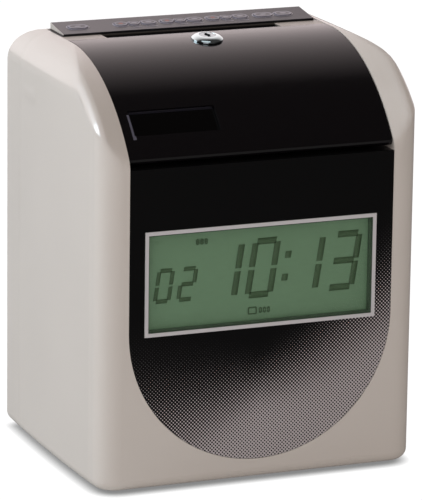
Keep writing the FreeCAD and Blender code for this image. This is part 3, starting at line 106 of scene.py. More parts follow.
# The share that they cover rises to INK_COVER by a soft step, which is half done at INK_DEPTH under the
# curve and is INK_STEP long. Both lengths grow by these shares to the metre, right and left of the middle.
INK_COVER = 0.66
INK_DEPTH = 0.005
INK_STEP = 0.0052
INK_SPREAD_RIGHT = 17.0
INK_SPREAD_LEFT = 30.0
# Cubic and straight part of the lattice's level for a cover, and the softness of a dot's edge
LEVEL_CUBIC = 3.9
LEVEL_STRAIGHT = 1.217
DOT_SOFT = 0.08


# Helpers

def colour(text, factor=1.0, lift=0.0):
    """sRGB hex text as linear red, green, blue and alpha, lighter or darker by a factor and a lift."""
    parts = [int(text[i:i + 2], 16) / 255 for i in (1, 3, 5)]
    linear = [p / 12.92 if p <= 0.04045 else ((p + 0.055) / 1.055) ** 2.4 for p in parts]
    return [min(1.0, part * factor + lift) for part in linear] + [1.0]


def fill_sockets(tree, node, inputs):
    """Fill a node's sockets with values, or link them to sockets or to the first outputs of nodes."""
    for key, value in inputs.items() if isinstance(inputs, dict) else enumerate(inputs):
        if isinstance(value, bpy.types.Node):
            value = value.outputs[0]
        if isinstance(value, bpy.types.NodeSocket):
            tree.links.new(value, node.inputs[key])
        else:
            node.inputs[key].default_value = value


def add_node(tree, kind, inputs=(), **settings):
    """Add a node, set its options and fill its sockets, by name or in their order."""
    made = tree.nodes.new(kind)
    for name, value in settings.items():
        setattr(made, name, value)
    fill_sockets(tree, made, inputs)
    return made


def within(tree, *limits):
    """Share from 0 to 1 by which a point is past all limits: each has a socket, its start and its end."""
    fades = [add_node(tree, RAMP, {"Value": value, "From Min": start, "From Max": end})
             for value, start, end in limits]
    share = fades[0]
    for fade in fades[1:]:
        share = add_node(tree, MATHS, (share, fade), operation="MULTIPLY")
    return share


def oblong(tree, places, halves, power):
    """Distance from the middle, which is 1 on the edge of an oblong with these half sizes."""
    shares = []
    for place, half in zip(places, halves):
        share = add_node(tree, MATHS, (place, half), operation="DIVIDE")
        share = add_node(tree, MATHS, (share,), operation="ABSOLUTE")
        shares.append(add_node(tree, MATHS, (share, power), operation="POWER"))
    return add_node(tree, MATHS, shares, operation="ADD")


def new_material(name):
    """Empty material with a Principled shader; returns the material, its tree and the shader."""
    made = bpy.data.materials.new(name)
    made.use_nodes = True
    tree = made.node_tree
    return made, tree, tree.nodes["Principled BSDF"]


def object_place(tree):
    """Sockets of the point, and of its X, Y and Z in metres."""
    place = add_node(tree, "ShaderNodeTexCoord").outputs["Object"]
    split = add_node(tree, "ShaderNodeSeparateXYZ", (place,))
    return place, *split.outputs


def finish_node(name, material):
    """Give a CAD node its material in all of its slots."""
    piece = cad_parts[name]
    for index in range(max(1, len(piece.material_slots))):
        if not piece.material_slots:
            piece.data.materials.append(material)
        piece.material_slots[index].material = material


def add_piece(name, mesh, body):
    """Put a finished mesh in the scene, riding on a body."""
    made = bpy.data.objects.new(name, mesh)
    bpy.context.scene.collection.objects.link(made)
    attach(made, body)


def new_tree(name, sockets):
    """Geometry node tree with named inputs; returns the tree, its input node and its output node."""
    tree = bpy.data.node_groups.new(name, "GeometryNodeTree")
    tree.interface.new_socket("Geometry", in_out="INPUT", socket_type="NodeSocketGeometry")
    for label, kind, value in sockets:
        made = tree.interface.new_socket(label, in_out="INPUT", socket_type=kind)
        if value is not None:
            made.default_value = value
    tree.interface.new_socket("Geometry", in_out="OUTPUT", socket_type="NodeSocketGeometry")
    return tree, tree.nodes.new("NodeGroupInput"), tree.nodes.new("NodeGroupOutput")


def close_tree(tree, entry, leave, geometry):
    """Realise the instances, set the material and end the tree."""
    real = add_node(tree, "GeometryNodeRealizeInstances", (geometry,))
    painted = add_node(tree, "GeometryNodeSetMaterial", {
        "Geometry": real, "Material": entry.outputs["Material"]})
    fill_sockets(tree, leave, (painted,))


def grown_mesh(name, base, tree, values):
    """Plain mesh that a tree makes from a base mesh with these input values."""
    carrier = bpy.data.objects.new(name + "_carrier", base)
    bpy.context.scene.collection.objects.link(carrier)
    grower = carrier.modifiers.new("grow", "NODES")
    grower.node_group = tree
    for item in tree.interface.items_tree:
        if item.in_out == "INPUT" and item.name in values:
            grower[item.identifier] = values[item.name]
    bpy.context.view_layer.update()
    evaluated = carrier.evaluated_get(bpy.context.evaluated_depsgraph_get())
    mesh = bpy.data.meshes.new_from_object(evaluated)
    mesh.name = name
    bpy.data.objects.remove(carrier)
    return mesh


def joined(name, meshes):
    """One mesh from several, with the first one's material."""
    made = bmesh.new()
    for mesh in meshes:
        made.from_mesh(mesh)
    result = bpy.data.meshes.new(name)
    made.to_mesh(result)
    made.free()
    for material in meshes[0].materials:
        result.materials.append(material)
    return result


def segment_mesh(name, lines):
    """Mesh of loose edges between pairs of flat points."""
    mesh = bpy.data.meshes.new(name)
    points = [(x, y, 0) for line in lines for x, y in line]
    mesh.from_pydata(points, [(i, i + 1) for i in range(0, len(points), 2)], [])
    return mesh


# Sizes and colours that a user would change

class CaseFinish(bpy.types.PropertyGroup):
    """Finish of the two case shells"""
    shell: bpy.props.StringProperty(name="Shell", description="Colour of the moulded shells",
                                    default="#DCD7CF")
    grain: bpy.props.FloatProperty(name="Grain", description="Size of the spark-eroded grain",
                                   default=0.0006, unit="LENGTH")


class PanelPrint(bpy.types.PropertyGroup):
    """Print on the front panel"""
    ink: bpy.props.StringProperty(name="Ink", description="Colour of the light dots", default="#C6C1C2")
    ground: bpy.props.StringProperty(name="Ground", description="Colour of the panel", default="#050506")
    pitch: bpy.props.FloatProperty(name="Dot pitch", description="Distance of the dots along a row",
                                   default=0.00175, unit="LENGTH")


class DisplaySizes(bpy.types.PropertyGroup):
    """Digits of the display"""
    large: bpy.props.FloatProperty(name="Large digits", description="Height of the time's digits",
                                   default=0.0250, unit="LENGTH")
    small: bpy.props.FloatProperty(name="Small digits", description="Height of the date's digits",
                                   default=0.0142, unit="LENGTH")
    large_bar: bpy.props.FloatProperty(name="Large bar", description="Width of the time's bars",
                                       default=0.0030, unit="LENGTH")
    small_bar: bpy.props.FloatProperty(name="Small bar", description="Width of the date's bars",
                                       default=0.0019, unit="LENGTH")
    slant: bpy.props.FloatProperty(name="Slant", description="Lean of the digits, sideways per height",
                                   default=0.15)
    ground: bpy.props.StringProperty(name="Ground", description="Colour of the display cell",
                                     default="#7DA481")
    dark: bpy.props.StringProperty(name="Dark", description="Colour of the lit bars", default="#52704F")


class StripPrint(bpy.types.PropertyGroup):
    """Print on the key strip"""
    ink: bpy.props.StringProperty(name="Ink", description="Colour of the key outlines", default="#A9A7B2")
    line: bpy.props.FloatProperty(name="Line", description="Width of the key outlines",
                                  default=0.0006, unit="LENGTH")


# Materials

def moulded_plastic(name, tone, grain, roughness=0.42, soft=0.0):
    """Plastic, such as ABS or acetal, from a spark-eroded tool: a fine even grain that softens highlights."""
    made, tree, shader = new_material(name)
    place, x, y, z = object_place(tree)
    fine = add_node(tree, NOISE, {"Vector": place, "Scale": 1 / grain, "Detail": 2.0})
    broad = add_node(tree, NOISE, {"Vector": place, "Scale": 18.0, "Detail": 3.0})
    gloss = add_node(tree, RAMP, {"Value": broad, "From Min": 0.35, "From Max": 0.65,
                                  "To Min": roughness - 0.03, "To Max": roughness + 0.04})
    mix = add_node(tree, MIX, {0: broad, 6: colour(tone, 0.965), 7: colour(tone)}, data_type="RGBA")
    bump = add_node(tree, BUMP, {"Height": fine, "Strength": 0.25, "Distance": 0.00002})
    if soft:
        # The cheeks run into the sides without an edge, so their normals are rounded off up there
        side = add_node(tree, MATHS, (x,), operation="ABSOLUTE")
        where = within(tree, (side, *CHEEK_X), (z, *CHEEK_Z), (y, *CHEEK_Y))
        rounded = add_node(tree, "ShaderNodeBevel", {"Radius": soft}, samples=12)
        plain = add_node(tree, "ShaderNodeNewGeometry")
        normal = add_node(tree, MIX, {0: where, 4: plain.outputs["Normal"], 5: rounded}, data_type="VECTOR")
        fill_sockets(tree, bump, {"Normal": normal.outputs[1]})
        # The ledge between the cover and the panel is painted black: painted shade under the cover's lower
        # edge
        low, high = SHADED_LEDGE_Z
        ledge = within(tree, (side, SHADED_LEDGE_X + 0.0003, SHADED_LEDGE_X), (z, low, low + 0.0005),
                       (z, high, high - 0.0005), (y, SHADED_LEDGE_Y, SHADED_LEDGE_Y - 0.0005))
        mix = add_node(tree, MIX, {0: ledge, 6: mix.outputs[2], 7: colour("#060607")}, data_type="RGBA")
        fill_sockets(tree, shader, {"Coat Weight": 0.6, "Coat Roughness": 0.12})
    fill_sockets(tree, shader, {"Base Color": mix.outputs[2], "Roughness": gloss, "Normal": bump,
                                "IOR": 1.53})
    return made


def polished_abs(name, tone, lip_highlight_tone):
    """ABS from a polished tool: mirror gloss, with a moulded skin's slight waves, faint wiping marks and
    painted highlights by the pane.
    """
    made, tree, shader = new_material(name)
    place, x, y, z = object_place(tree)
    wave = add_node(tree, NOISE, {"Vector": place, "Scale": 40.0, "Detail": 1.0})
    stretched = add_node(tree, "ShaderNodeMapping", {"Vector": place, "Scale": (30, 400, 400)})
    wiped = add_node(tree, NOISE, {"Vector": stretched, "Scale": 4.0, "Detail": 2.0})
    gloss = add_node(tree, RAMP, {"Value": wiped, "From Min": 0.4, "From Max": 0.7,
                                  "To Min": 0.14, "To Max": 0.19})
    bump = add_node(tree, BUMP, {"Height": wave, "Strength": 0.06, "Distance": 0.0004})
    # Painted highlights: a thin band at the pane's left edge is painted a lighter grey in full, and one over
    # its top at a third, where the recess's edges would catch the light
    low, high = PANE_BOX
    lip_highlights = []
    for strength, across, along in ((1.0, (x, low.x - 0.0004, 0.0008), (z, low.z, high.z)),
                                    (0.35, (z, high.z + 0.0002, 0.0003), (x, low.x, high.x))):
        way, start, end = along
        thin = add_node(tree, MATHS, across, operation="COMPARE")
        long = add_node(tree, MATHS, (way, (start + end) / 2, (end - start) / 2), operation="COMPARE")
        both = add_node(tree, MATHS, (thin, long), operation="MULTIPLY")
        lip_highlights.append(add_node(tree, MATHS, (both, strength), operation="MULTIPLY"))
    lip_highlight = add_node(tree, MATHS, lip_highlights, operation="MAXIMUM")
    mix = add_node(tree, MIX, {0: lip_highlight, 6: colour(tone), 7: colour(lip_highlight_tone)}, data_type="RGBA")
    fill_sockets(tree, shader, {"Base Color": mix.outputs[2], "Roughness": gloss, "Normal": bump,
                                "IOR": 1.53})
    return made


def smoked_acrylic(tone, edge):
    """Smoked acrylic pane: near black and glossy, with painted highlights, a lighter grey on thin bands at
    its left and top edges.
    """
    made, tree, shader = new_material("smoked_acrylic")
    place, x, y, z = object_place(tree)
    low, high = PANE_BOX
    # Painted highlights: a band at the left edge in full, and one at the top edge at 0.4, take the lighter
    # grey
    left = within(tree, (x, low.x + 0.0008, low.x + 0.0004))
    top = within(tree, (z, high.z - 0.0006, high.z - 0.0003))
    top = add_node(tree, MATHS, (top, 0.4), operation="MULTIPLY")
    bevel_highlight = add_node(tree, MATHS, (left, top), operation="MAXIMUM")
    smear = add_node(tree, NOISE, {"Vector": place, "Scale": 120.0, "Detail": 2.0})
    gloss = add_node(tree, RAMP, {"Value": smear, "To Min": 0.04, "To Max": 0.09})
    mix = add_node(tree, MIX, {0: bevel_highlight, 6: colour(tone), 7: colour(edge)}, data_type="RGBA")
    fill_sockets(tree, shader, {"Base Color": mix.outputs[2], "Roughness": gloss, "IOR": 1.49})
    return made


def printed_polycarbonate(look):
    """Label film with a dot gradient screen-printed behind a satin face: crisp dots and little gloss."""
    made, tree, shader = new_material("printed_polycarbonate")
    place, x, y, z = object_place(tree)
    waves = []
    for way in (x, z):
        turned = add_node(tree, MATHS, (way, 2 * math.pi / look.pitch), operation="MULTIPLY")
        waves.append(add_node(tree, MATHS, (turned,), operation="COSINE"))
    lattice = add_node(tree, MATHS, waves, operation="MULTIPLY")
    # The ink starts at a curve that climbs to the right
    right = add_node(tree, MATHS, (x, 0.0), operation="MAXIMUM")
    mirrored = add_node(tree, MATHS, (x, -1.0), operation="MULTIPLY")
    left = add_node(tree, MATHS, (mirrored, 0.0), operation="MAXIMUM")
    line = add_node(tree, MATHS, (x, INK_CLIMB, INK_EDGE), operation="MULTIPLY_ADD")
    bow = add_node(tree, MATHS, (right, right), operation="MULTIPLY")
    edge = add_node(tree, MATHS, (bow, INK_BOW, line), operation="MULTIPLY_ADD")
    below = add_node(tree, MATHS, (edge, z), operation="SUBTRACT")
    # Its cover grows under that curve by a soft step, which is softer away from the middle
    spread = add_node(tree, MATHS, (right, INK_SPREAD_RIGHT, 1.0), operation="MULTIPLY_ADD")
    spread = add_node(tree, MATHS, (left, INK_SPREAD_LEFT, spread), operation="MULTIPLY_ADD")
    depth = add_node(tree, MATHS, (below, spread), operation="DIVIDE")
    short = add_node(tree, MATHS, (INK_DEPTH, depth), operation="SUBTRACT")
    steps = add_node(tree, MATHS, (short, INK_STEP), operation="DIVIDE")
    grown = add_node(tree, MATHS, (steps,), operation="EXPONENT")
    total = add_node(tree, MATHS, (grown, 1.0), operation="ADD")
    cover = add_node(tree, MATHS, (INK_COVER, total), operation="DIVIDE")
    # Level of the lattice at which the dots take up that cover, fitted by a cubic
    lack = add_node(tree, MATHS, (0.5, cover), operation="SUBTRACT")
    squared = add_node(tree, MATHS, (lack, lack), operation="MULTIPLY")
    slope = add_node(tree, MATHS, (squared, LEVEL_CUBIC, LEVEL_STRAIGHT), operation="MULTIPLY_ADD")
    level = add_node(tree, MATHS, (lack, slope), operation="MULTIPLY")
    over = add_node(tree, MATHS, (lattice, level), operation="SUBTRACT")
    dot = within(tree, (over, -DOT_SOFT, DOT_SOFT))
    mix = add_node(tree, MIX, {0: dot, 6: colour(look.ground), 7: colour(look.ink)}, data_type="RGBA")
    fine = add_node(tree, NOISE, {"Vector": place, "Scale": FILM_CELLS, "Detail": 1.0})
    bump = add_node(tree, BUMP, {"Height": fine, "Strength": 0.1, "Distance": 0.00001})
    fill_sockets(tree, shader, {"Base Color": mix.outputs[2], "Normal": bump, "Roughness": 0.3,
                                "Specular IOR Level": 0.2})
    return made


def satin_abs_frame(face, wall):
    """Painted ABS frame with a satin grey face; its walls round the opening, behind the face, get painted
    shade in a dark green-grey.
    """
    made, tree, shader = new_material("satin_grey_abs_frame")
    place, x, y, z = object_place(tree)
    fine = add_node(tree, NOISE, {"Vector": place, "Scale": PAINT_CELLS, "Detail": 2.0})
    # Painted shade: all that lies 0.3 mm or more behind the face is painted dark
    inner_shade = within(tree, (y, FRONT_Y - 0.0004, FRONT_Y - 0.0003))
    mix = add_node(tree, MIX, {0: inner_shade, 6: colour(face), 7: colour(wall)}, data_type="RGBA")
    bump = add_node(tree, BUMP, {"Height": fine, "Strength": 0.15, "Distance": 0.00001})
    fill_sockets(tree, shader, {"Base Color": mix.outputs[2], "Normal": bump, "Roughness": 0.35})
    return made


def display_cell(tone):
    """Reflective liquid crystal cell: a dull green ground with the faint streaks of its rear foil."""
    made, tree, shader = new_material("liquid_crystal_glass")
    place = object_place(tree)[0]
    foil = add_node(tree, "ShaderNodeMapping", {"Vector": place, "Scale": (60, 1, 400)})
    grain = add_node(tree, NOISE, {"Vector": foil, "Scale": 3.0, "Detail": 2.0})
    mix = add_node(tree, MIX, {0: grain, 6: colour(tone, 0.86), 7: colour(tone)}, data_type="RGBA")
    fill_sockets(tree, shader, {"Base Color": mix.outputs[2], "Roughness": 0.35, "Specular IOR Level": 0.35})
    return made


def clear_acrylic():
    """Clear cast acrylic: almost unseen, with a thin sheen of its own."""
    made, tree, shader = new_material("clear_acrylic")
    place = object_place(tree)[0]
    dust = add_node(tree, NOISE, {"Vector": place, "Scale": 60.0, "Detail": 1.0})
    gloss = add_node(tree, RAMP, {"Value": dust, "From Min": 0.4, "From Max": 0.7,
                                  "To Min": 0.05, "To Max": 0.07})
    fill_sockets(tree, shader, {"Base Color": colour("#4A5A4C"), "Roughness": gloss, "Alpha": 0.05,
                                "IOR": 1.49})
    return made


def printed_ink(name, tone, cells, factor, sheen):
    """Screen ink with a faint mottle, this many cells of it to the metre: flat, with a low sheen."""
    made, tree, shader = new_material(name)
    place = object_place(tree)[0]
    mottle = add_node(tree, NOISE, {"Vector": place, "Scale": cells, "Detail": 1.0})
    mix = add_node(tree, MIX, {0: mottle, 6: colour(tone, factor), 7: colour(tone)}, data_type="RGBA")
    fill_sockets(tree, shader, {"Base Color": mix.outputs[2], "Roughness": 0.4, "Specular IOR Level": sheen})
    return made


def keypad_overlay(tone, ledge, slot_shade, wall):
    """Grey polyester overlay on the sloping strip: satin; the moulding's ledge and end walls are paler, and
    the rest off the slope, round the card opening and at the strip's foot, is painted near black as shade.
    """
    made, tree, shader = new_material("printed_polyester_overlay")
    place, x, y, z = object_place(tree)
    front = STRIP_FRONT.y
    raised = (z, TOP_Z + 0.0001, TOP_Z + 0.0004)
    # Painted shade: all but the ledge, the slope and the end walls, so the card opening and a band at the
    # strip's foot, takes the near black
    on_ledge = within(tree, (z, TOP_Z - 0.0011, TOP_Z - 0.0004), (y, front - 0.0012, front - 0.0016))
    mix = add_node(tree, MIX, {0: on_ledge, 6: colour(slot_shade), 7: colour(ledge)}, data_type="RGBA")
    on_slope = within(tree, raised, (y, front - 0.0002, front + 0.0001))
    mix = add_node(tree, MIX, {0: on_slope, 6: mix.outputs[2], 7: colour(tone)}, data_type="RGBA")
    between = add_node(tree, MATHS, (x, 0.0, STRIP_HALF), operation="COMPARE")
    beyond = add_node(tree, MATHS, (1.0, between), operation="SUBTRACT")
    on_wall = add_node(tree, MATHS, (beyond, within(tree, raised)), operation="MULTIPLY")
    mix = add_node(tree, MIX, {0: on_wall, 6: mix.outputs[2], 7: colour(wall)}, data_type="RGBA")
    # Its sheen fades towards the right end
    sheen = add_node(tree, RAMP, {"Value": x, "From Min": -0.065, "From Max": 0.065,
                                  "To Min": 0.68, "To Max": 0.26})
    fine = add_node(tree, NOISE, {"Vector": place, "Scale": SATIN_CELLS, "Detail": 2.0})
    bump = add_node(tree, BUMP, {"Height": fine, "Strength": 0.15, "Distance": 0.00001})
    fill_sockets(tree, shader, {"Base Color": mix.outputs[2], "Normal": bump, "Roughness": 0.32,
                                "Specular IOR Level": sheen})
    return made


def printed_key(name, tone, centre, mark, radius, half, rim):
    """Satin ABS key cap with a small printed mark at its middle and a paler band round its edge."""
    made, tree, shader = new_material("satin_abs_" + name)
    place = object_place(tree)[0]
    shift = add_node(tree, "ShaderNodeMapping", {"Vector": place, "Location": centre, "Scale": (1, 1, 0)},
                     vector_type="TEXTURE")
    ways = add_node(tree, "ShaderNodeSeparateXYZ", (shift,)).outputs
    spot = within(tree, (oblong(tree, ways, radius, 2.0), 1.2, 0.8))
    mix = add_node(tree, MIX, {0: spot, 6: colour(tone), 7: colour(mark)}, data_type="RGBA")
    edge = within(tree, (oblong(tree, ways, half, 2.6), 0.5, 0.62))
    mix = add_node(tree, MIX, {0: edge, 6: mix.outputs[2], 7: colour(rim)}, data_type="RGBA")
    fine = add_node(tree, NOISE, {"Vector": place, "Scale": SATIN_CELLS, "Detail": 2.0})
    bump = add_node(tree, BUMP, {"Height": fine, "Strength": 0.15, "Distance": 0.00001})
    fill_sockets(tree, shader, {"Base Color": mix.outputs[2], "Normal": bump, "Roughness": 0.35})
    return made


def worked_metal(name, tone, roughness, scratch=(60, 60, 900), strength=0.1):
    """Ground, drawn, turned, cast or plated metal, with the fine directional marks of its making."""
    made, tree, shader = new_material(name)
    place = object_place(tree)[0]
    drawn = add_node(tree, "ShaderNodeMapping", {"Vector": place, "Scale": scratch})
    marks = add_node(tree, NOISE, {"Vector": drawn, "Scale": 6.0, "Detail": 3.0})
    gloss = add_node(tree, RAMP, {"Value": marks, "From Min": 0.3, "From Max": 0.7,
                                  "To Min": max(0.03, roughness - 0.06), "To Max": roughness + 0.08})
    bump = add_node(tree, BUMP, {"Height": marks, "Strength": strength, "Distance": 0.00002})
    fill_sockets(tree, shader, {"Base Color": colour(tone), "Metallic": 1.0, "Roughness": gloss,
                                "Normal": bump})
    return made


def zinc_sheet(name, tone):
    """Zinc-plated steel sheet: large soft crystals, 9 mm across, and a dull shine."""
    made, tree, shader = new_material(name)
    place = object_place(tree)[0]
    crystals = add_node(tree, "ShaderNodeTexVoronoi", {"Vector": place, "Scale": 110.0}).outputs["Color"]
    mix = add_node(tree, MIX, {0: crystals, 6: colour(tone, 0.78), 7: colour(tone)}, data_type="RGBA")
    gloss = add_node(tree, RAMP, {"Value": crystals, "To Min": 0.3, "To Max": 0.45})
    fill_sockets(tree, shader, {"Base Color": mix.outputs[2], "Metallic": 1.0, "Roughness": gloss})
    return made


def masked_board(name, tone, track):
    """Glass-epoxy board under green solder mask, with its tracks showing as paler lines."""
    made, tree, shader = new_material(name)
    x, y, z = object_place(tree)[1:]
    turned = add_node(tree, "ShaderNodeCombineXYZ", (x, z, y))
    bricks = add_node(tree, "ShaderNodeTexBrick", {
        "Vector": turned, "Color1": colour(tone), "Color2": colour(tone), "Mortar": colour(track),
        "Scale": 260.0, "Mortar Size": 0.05, "Brick Width": 1.7, "Row Height": 0.55})
    bump = add_node(tree, BUMP, {"Height": bricks.outputs["Fac"], "Strength": 0.3, "Distance": 0.00004})
    fill_sockets(tree, shader, {"Base Color": bricks, "Normal": bump, "Roughness": 0.28})
    return made


def moulded_rubber(name, tone):
    """Soft moulded rubber: dull, slightly dusty and speckled."""
    made, tree, shader = new_material(name)
    place = object_place(tree)[0]
    dust = add_node(tree, NOISE, {"Vector": place, "Scale": DUST_CELLS, "Detail": 4.0})
    mix = add_node(tree, MIX, {0: dust, 6: colour(tone), 7: colour(tone, 1.5, 0.01)}, data_type="RGBA")
    bump = add_node(tree, BUMP, {"Height": dust, "Strength": 0.3, "Distance": 0.00003})
    fill_sockets(tree, shader, {"Base Color": mix.outputs[2], "Normal": bump, "Roughness": 0.8})
    return made


def woven_ribbon(name, tone):
    """Inked nylon ribbon: a plain weave of 0.25 mm threads, drawn twice as coarse so that it shows."""
    made, tree, shader = new_material(name)
    x, y, z = object_place(tree)[1:]
    waves = []
    for way in (x, z):
        turned = add_node(tree, MATHS, (way, 2 * math.pi / THREAD_PITCH), operation="MULTIPLY")
        waves.append(add_node(tree, MATHS, (turned,), operation="SINE"))
    weave = add_node(tree, MATHS, waves, operation="MULTIPLY")
    raised = within(tree, (weave, -1.0, 1.0))
    mix = add_node(tree, MIX, {0: raised, 6: colour(tone), 7: colour(tone, 1.8, 0.006)}, data_type="RGBA")
    bump = add_node(tree, BUMP, {"Height": weave, "Strength": 0.5, "Distance": 0.0001})
    fill_sockets(tree, shader, {"Base Color": mix.outputs[2], "Normal": bump, "Roughness": 0.7})
    return made


# Operators

class DressCase(bpy.types.Operator):
    """Give the case shells, feet and screws their finish"""
    bl_idname = "recorder.dress_case"
    bl_label = "Case"

    def execute(self, context):
        look = context.scene.recorder_case
        shell = moulded_plastic("spark_etched_abs_case", look.shell, look.grain, soft=CHEEK_SOFT)
        for name in ("front_case", "rear_case"):
            finish_node(name, shell)
        finish_node("rubber_feet", moulded_rubber("moulded_rubber_feet", "#1C1C1E"))
        finish_node("case_screws", worked_metal("zinc_plated_screws", "#A9A8A4", 0.3))
        return {"FINISHED"}


class DressCover(bpy.types.Operator):
    """Give the curved cover, its pane, the hinge pins and the lock their finish"""
    bl_idname = "recorder.dress_cover"
    bl_label = "Cover and lock"

    def execute(self, context):
        finish_node("front_cover", polished_abs("polished_black_abs", "#0A080A", "#5C5C68"))
        finish_node("cover_window", smoked_acrylic("#010101", "#3C3C46"))
        finish_node("hinge_pins", worked_metal("ground_steel_pins", "#B9B9BC", 0.2, (900, 60, 60)))
        finish_node("lock_bezel", worked_metal("polished_chrome", "#E2F2F4", 0.08, (300, 300, 300), 0.03))
        finish_node("lock_plug", worked_metal("satin_chrome_plug", "#B4C0C4", 0.22, (300, 300, 300)))
        for name in ("lock_cam", "lock_nut", "lock_catch"):
            finish_node(name, zinc_sheet("zinc_" + name, "#B4B6B8"))
        return {"FINISHED"}


class DressPanel(bpy.types.Operator):
    """Print the dot gradient on the front panel and finish the display's frame, window and cell"""
    bl_idname = "recorder.dress_panel"
    bl_label = "Front panel"

    def execute(self, context):
        finish_node("front_panel", printed_polycarbonate(context.scene.recorder_print))
        finish_node("lcd_frame", satin_abs_frame("#D0D0D2", "#4C634E"))
        finish_node("lcd_window", clear_acrylic())
        finish_node("lcd_glass", display_cell(context.scene.recorder_display.ground))
        finish_node("lcd_holder", moulded_plastic("white_abs_holder", "#D6D6D0", 0.0006, 0.5))
        return {"FINISHED"}


# The seven bars of a digit in a unit square, and the bars that each digit lights
SEGMENTS = {"top": ((0, 1), (1, 1)), "middle": ((0, 0.5), (1, 0.5)), "foot": ((0, 0), (1, 0)),
            "left_high": ((0, 0.5), (0, 1)), "left_low": ((0, 0), (0, 0.5)),
            "right_high": ((1, 0.5), (1, 1)), "right_low": ((1, 0), (1, 0.5))}
DIGITS = {"0": "top foot left_high left_low right_high right_low", "1": "right_high right_low",
          "2": "top middle foot right_high left_low", "3": "top middle foot right_high right_low"}

# Content of the display as it shows on the frame's face, in metres: left edge and width of each digit
TIME_DIGITS = (("1", -0.0250, 0.0110), ("0", -0.0072, 0.0110), ("1", 0.0153, 0.0110), ("3", 0.0330, 0.0116))
DATE_DIGITS = (("0", -0.0527, 0.0066), ("2", -0.0413, 0.0066))
TIME_FOOT = 0.0878
DATE_FOOT = 0.0887
COLON_X = 0.0101
COLON_UP = (0.0070, 0.0177)
COLON_HALF = 0.0016
# Its small marks: line, gap at the corners, corners and sizes in metres
MARK_LINE = 0.0006
MARK_GAP = 0.0001
MARK_TALL = 0.0022
DAY_MARKS = (-0.0327, 0.1139)
DAY_WIDE = 0.0011
DAY_PITCH = 0.0021
CARD_MARK = (-0.0066, 0.0789)
CARD_SIZE = (0.0038, 0.0030)
BOX_SHIFT = (0.0054, 0.0003)
BOX_WIDE = 0.0010
BOX_PITCH = 0.0020
# The cell lies behind the frame, so its content sits this far right and up of where it shows
CELL_SHIFT = Vector((0.0014, 0.0006))
# The bars' middles lie this far before the cell's face
BAR_LIFT = 0.0002


def digit_lines(digit, corner, wide, tall, gap):
    """Centre lines of a digit's lit bars from its lower left corner, shortened where bars meet."""
    lines = []
    for part in DIGITS[digit].split():
        start, end = (corner + Vector((across * wide, up * tall)) for across, up in SEGMENTS[part])
        trim = (end - start).normalized() * gap
        lines.append((tuple(start + trim), tuple(end - trim)))
    return lines


def number_lines(digits, foot, tall, bar):
    """Centre lines of a row of digits, which leave room at their ends for bars this wide."""
    lines = []
    for digit, left, wide in digits:
        lines += digit_lines(digit, CELL_SHIFT + Vector((left, foot)), wide, tall, bar * 0.25)
    return lines


def colon_lines():
    """Centre lines of the two short bars between the hours and the minutes."""
    return [[tuple(CELL_SHIFT + Vector((COLON_X, TIME_FOOT + up + end))) for end in (-COLON_HALF, COLON_HALF)]
            for up in COLON_UP]


def mark_lines():
    """Centre lines of the small marks: three barred boxes for the day, and a card with three boxes."""
    lines = []
    for index in range(3):
        corner = CELL_SHIFT + Vector(DAY_MARKS) + Vector((DAY_PITCH * index, 0))
        lines += digit_lines("0", corner, DAY_WIDE, MARK_TALL, MARK_GAP)
        lines.append([tuple(corner + Vector((across, MARK_TALL / 2))) for across in (0, DAY_WIDE)])
    card = CELL_SHIFT + Vector(CARD_MARK)
    lines += digit_lines("0", card, *CARD_SIZE, 0.0)
    for index in range(3):
        corner = card + Vector(BOX_SHIFT) + Vector((BOX_PITCH * index, 0))
        lines += digit_lines("0", corner, BOX_WIDE, MARK_TALL, MARK_GAP)
    return lines


def bar_tree():
    """Tree that turns flat centre lines into thin bars with tapered ends, leans them and stands them up."""
    tree, entry, leave = new_tree("display_bars", [
        ("Bar Width", "NodeSocketFloat", 0.0030), ("Thickness", "NodeSocketFloat", 0.00008),
        ("Slant", "NodeSocketFloat", 0.15), ("Foot", "NodeSocketFloat", 0.0),
        ("Depth", "NodeSocketFloat", 0.0), ("Material", "NodeSocketMaterial", None)])
    wide = entry.outputs["Bar Width"]
    curve = add_node(tree, "GeometryNodeMeshToCurve", {0: entry.outputs["Geometry"]})
    fine = add_node(tree, "GeometryNodeResampleCurve", {"Curve": curve, "Count": 14})
    # Each bar narrows to a quarter of its width at its ends
    from_start = add_node(tree, "GeometryNodeSplineParameter").outputs["Length"]
    full = add_node(tree, "GeometryNodeSplineLength")
    from_end = add_node(tree, MATHS, (full, from_start), operation="SUBTRACT")
    to_end = add_node(tree, MATHS, (from_start, from_end), operation="MINIMUM")
    half = add_node(tree, MATHS, (wide, 0.5), operation="MULTIPLY")
    share = add_node(tree, MATHS, (to_end, half), operation="DIVIDE")
    taper = add_node(tree, MATHS, (share, 0.75, 0.25), operation="MULTIPLY_ADD")
    width = add_node(tree, MATHS, (taper, 1.0), operation="MINIMUM")
    shaped = add_node(tree, "GeometryNodeSetCurveRadius", {"Curve": fine, "Radius": width})
    upright = add_node(tree, "GeometryNodeSetCurveNormal", {"Curve": shaped}, mode="Z_UP")
    profile = add_node(tree, "GeometryNodeCurvePrimitiveQuadrilateral", {
        "Width": wide, "Height": entry.outputs["Thickness"]})
    bars = add_node(tree, "GeometryNodeCurveToMesh", {"Curve": upright, "Profile Curve": profile,
                                                      "Fill Caps": True})
    flat = add_node(tree, "GeometryNodeInputPosition")
    across, up, thick = add_node(tree, "ShaderNodeSeparateXYZ", (flat,)).outputs
    over_foot = add_node(tree, MATHS, (up, entry.outputs["Foot"]), operation="SUBTRACT")
    leaned = add_node(tree, MATHS, (over_foot, entry.outputs["Slant"], across), operation="MULTIPLY_ADD")
    depth = add_node(tree, MATHS, (entry.outputs["Depth"], thick), operation="SUBTRACT")
    place = add_node(tree, "ShaderNodeCombineXYZ", (leaned, depth, up))
    stood = add_node(tree, "GeometryNodeSetPosition", {"Geometry": bars, "Position": place})
    close_tree(tree, entry, leave, stood)
    return tree


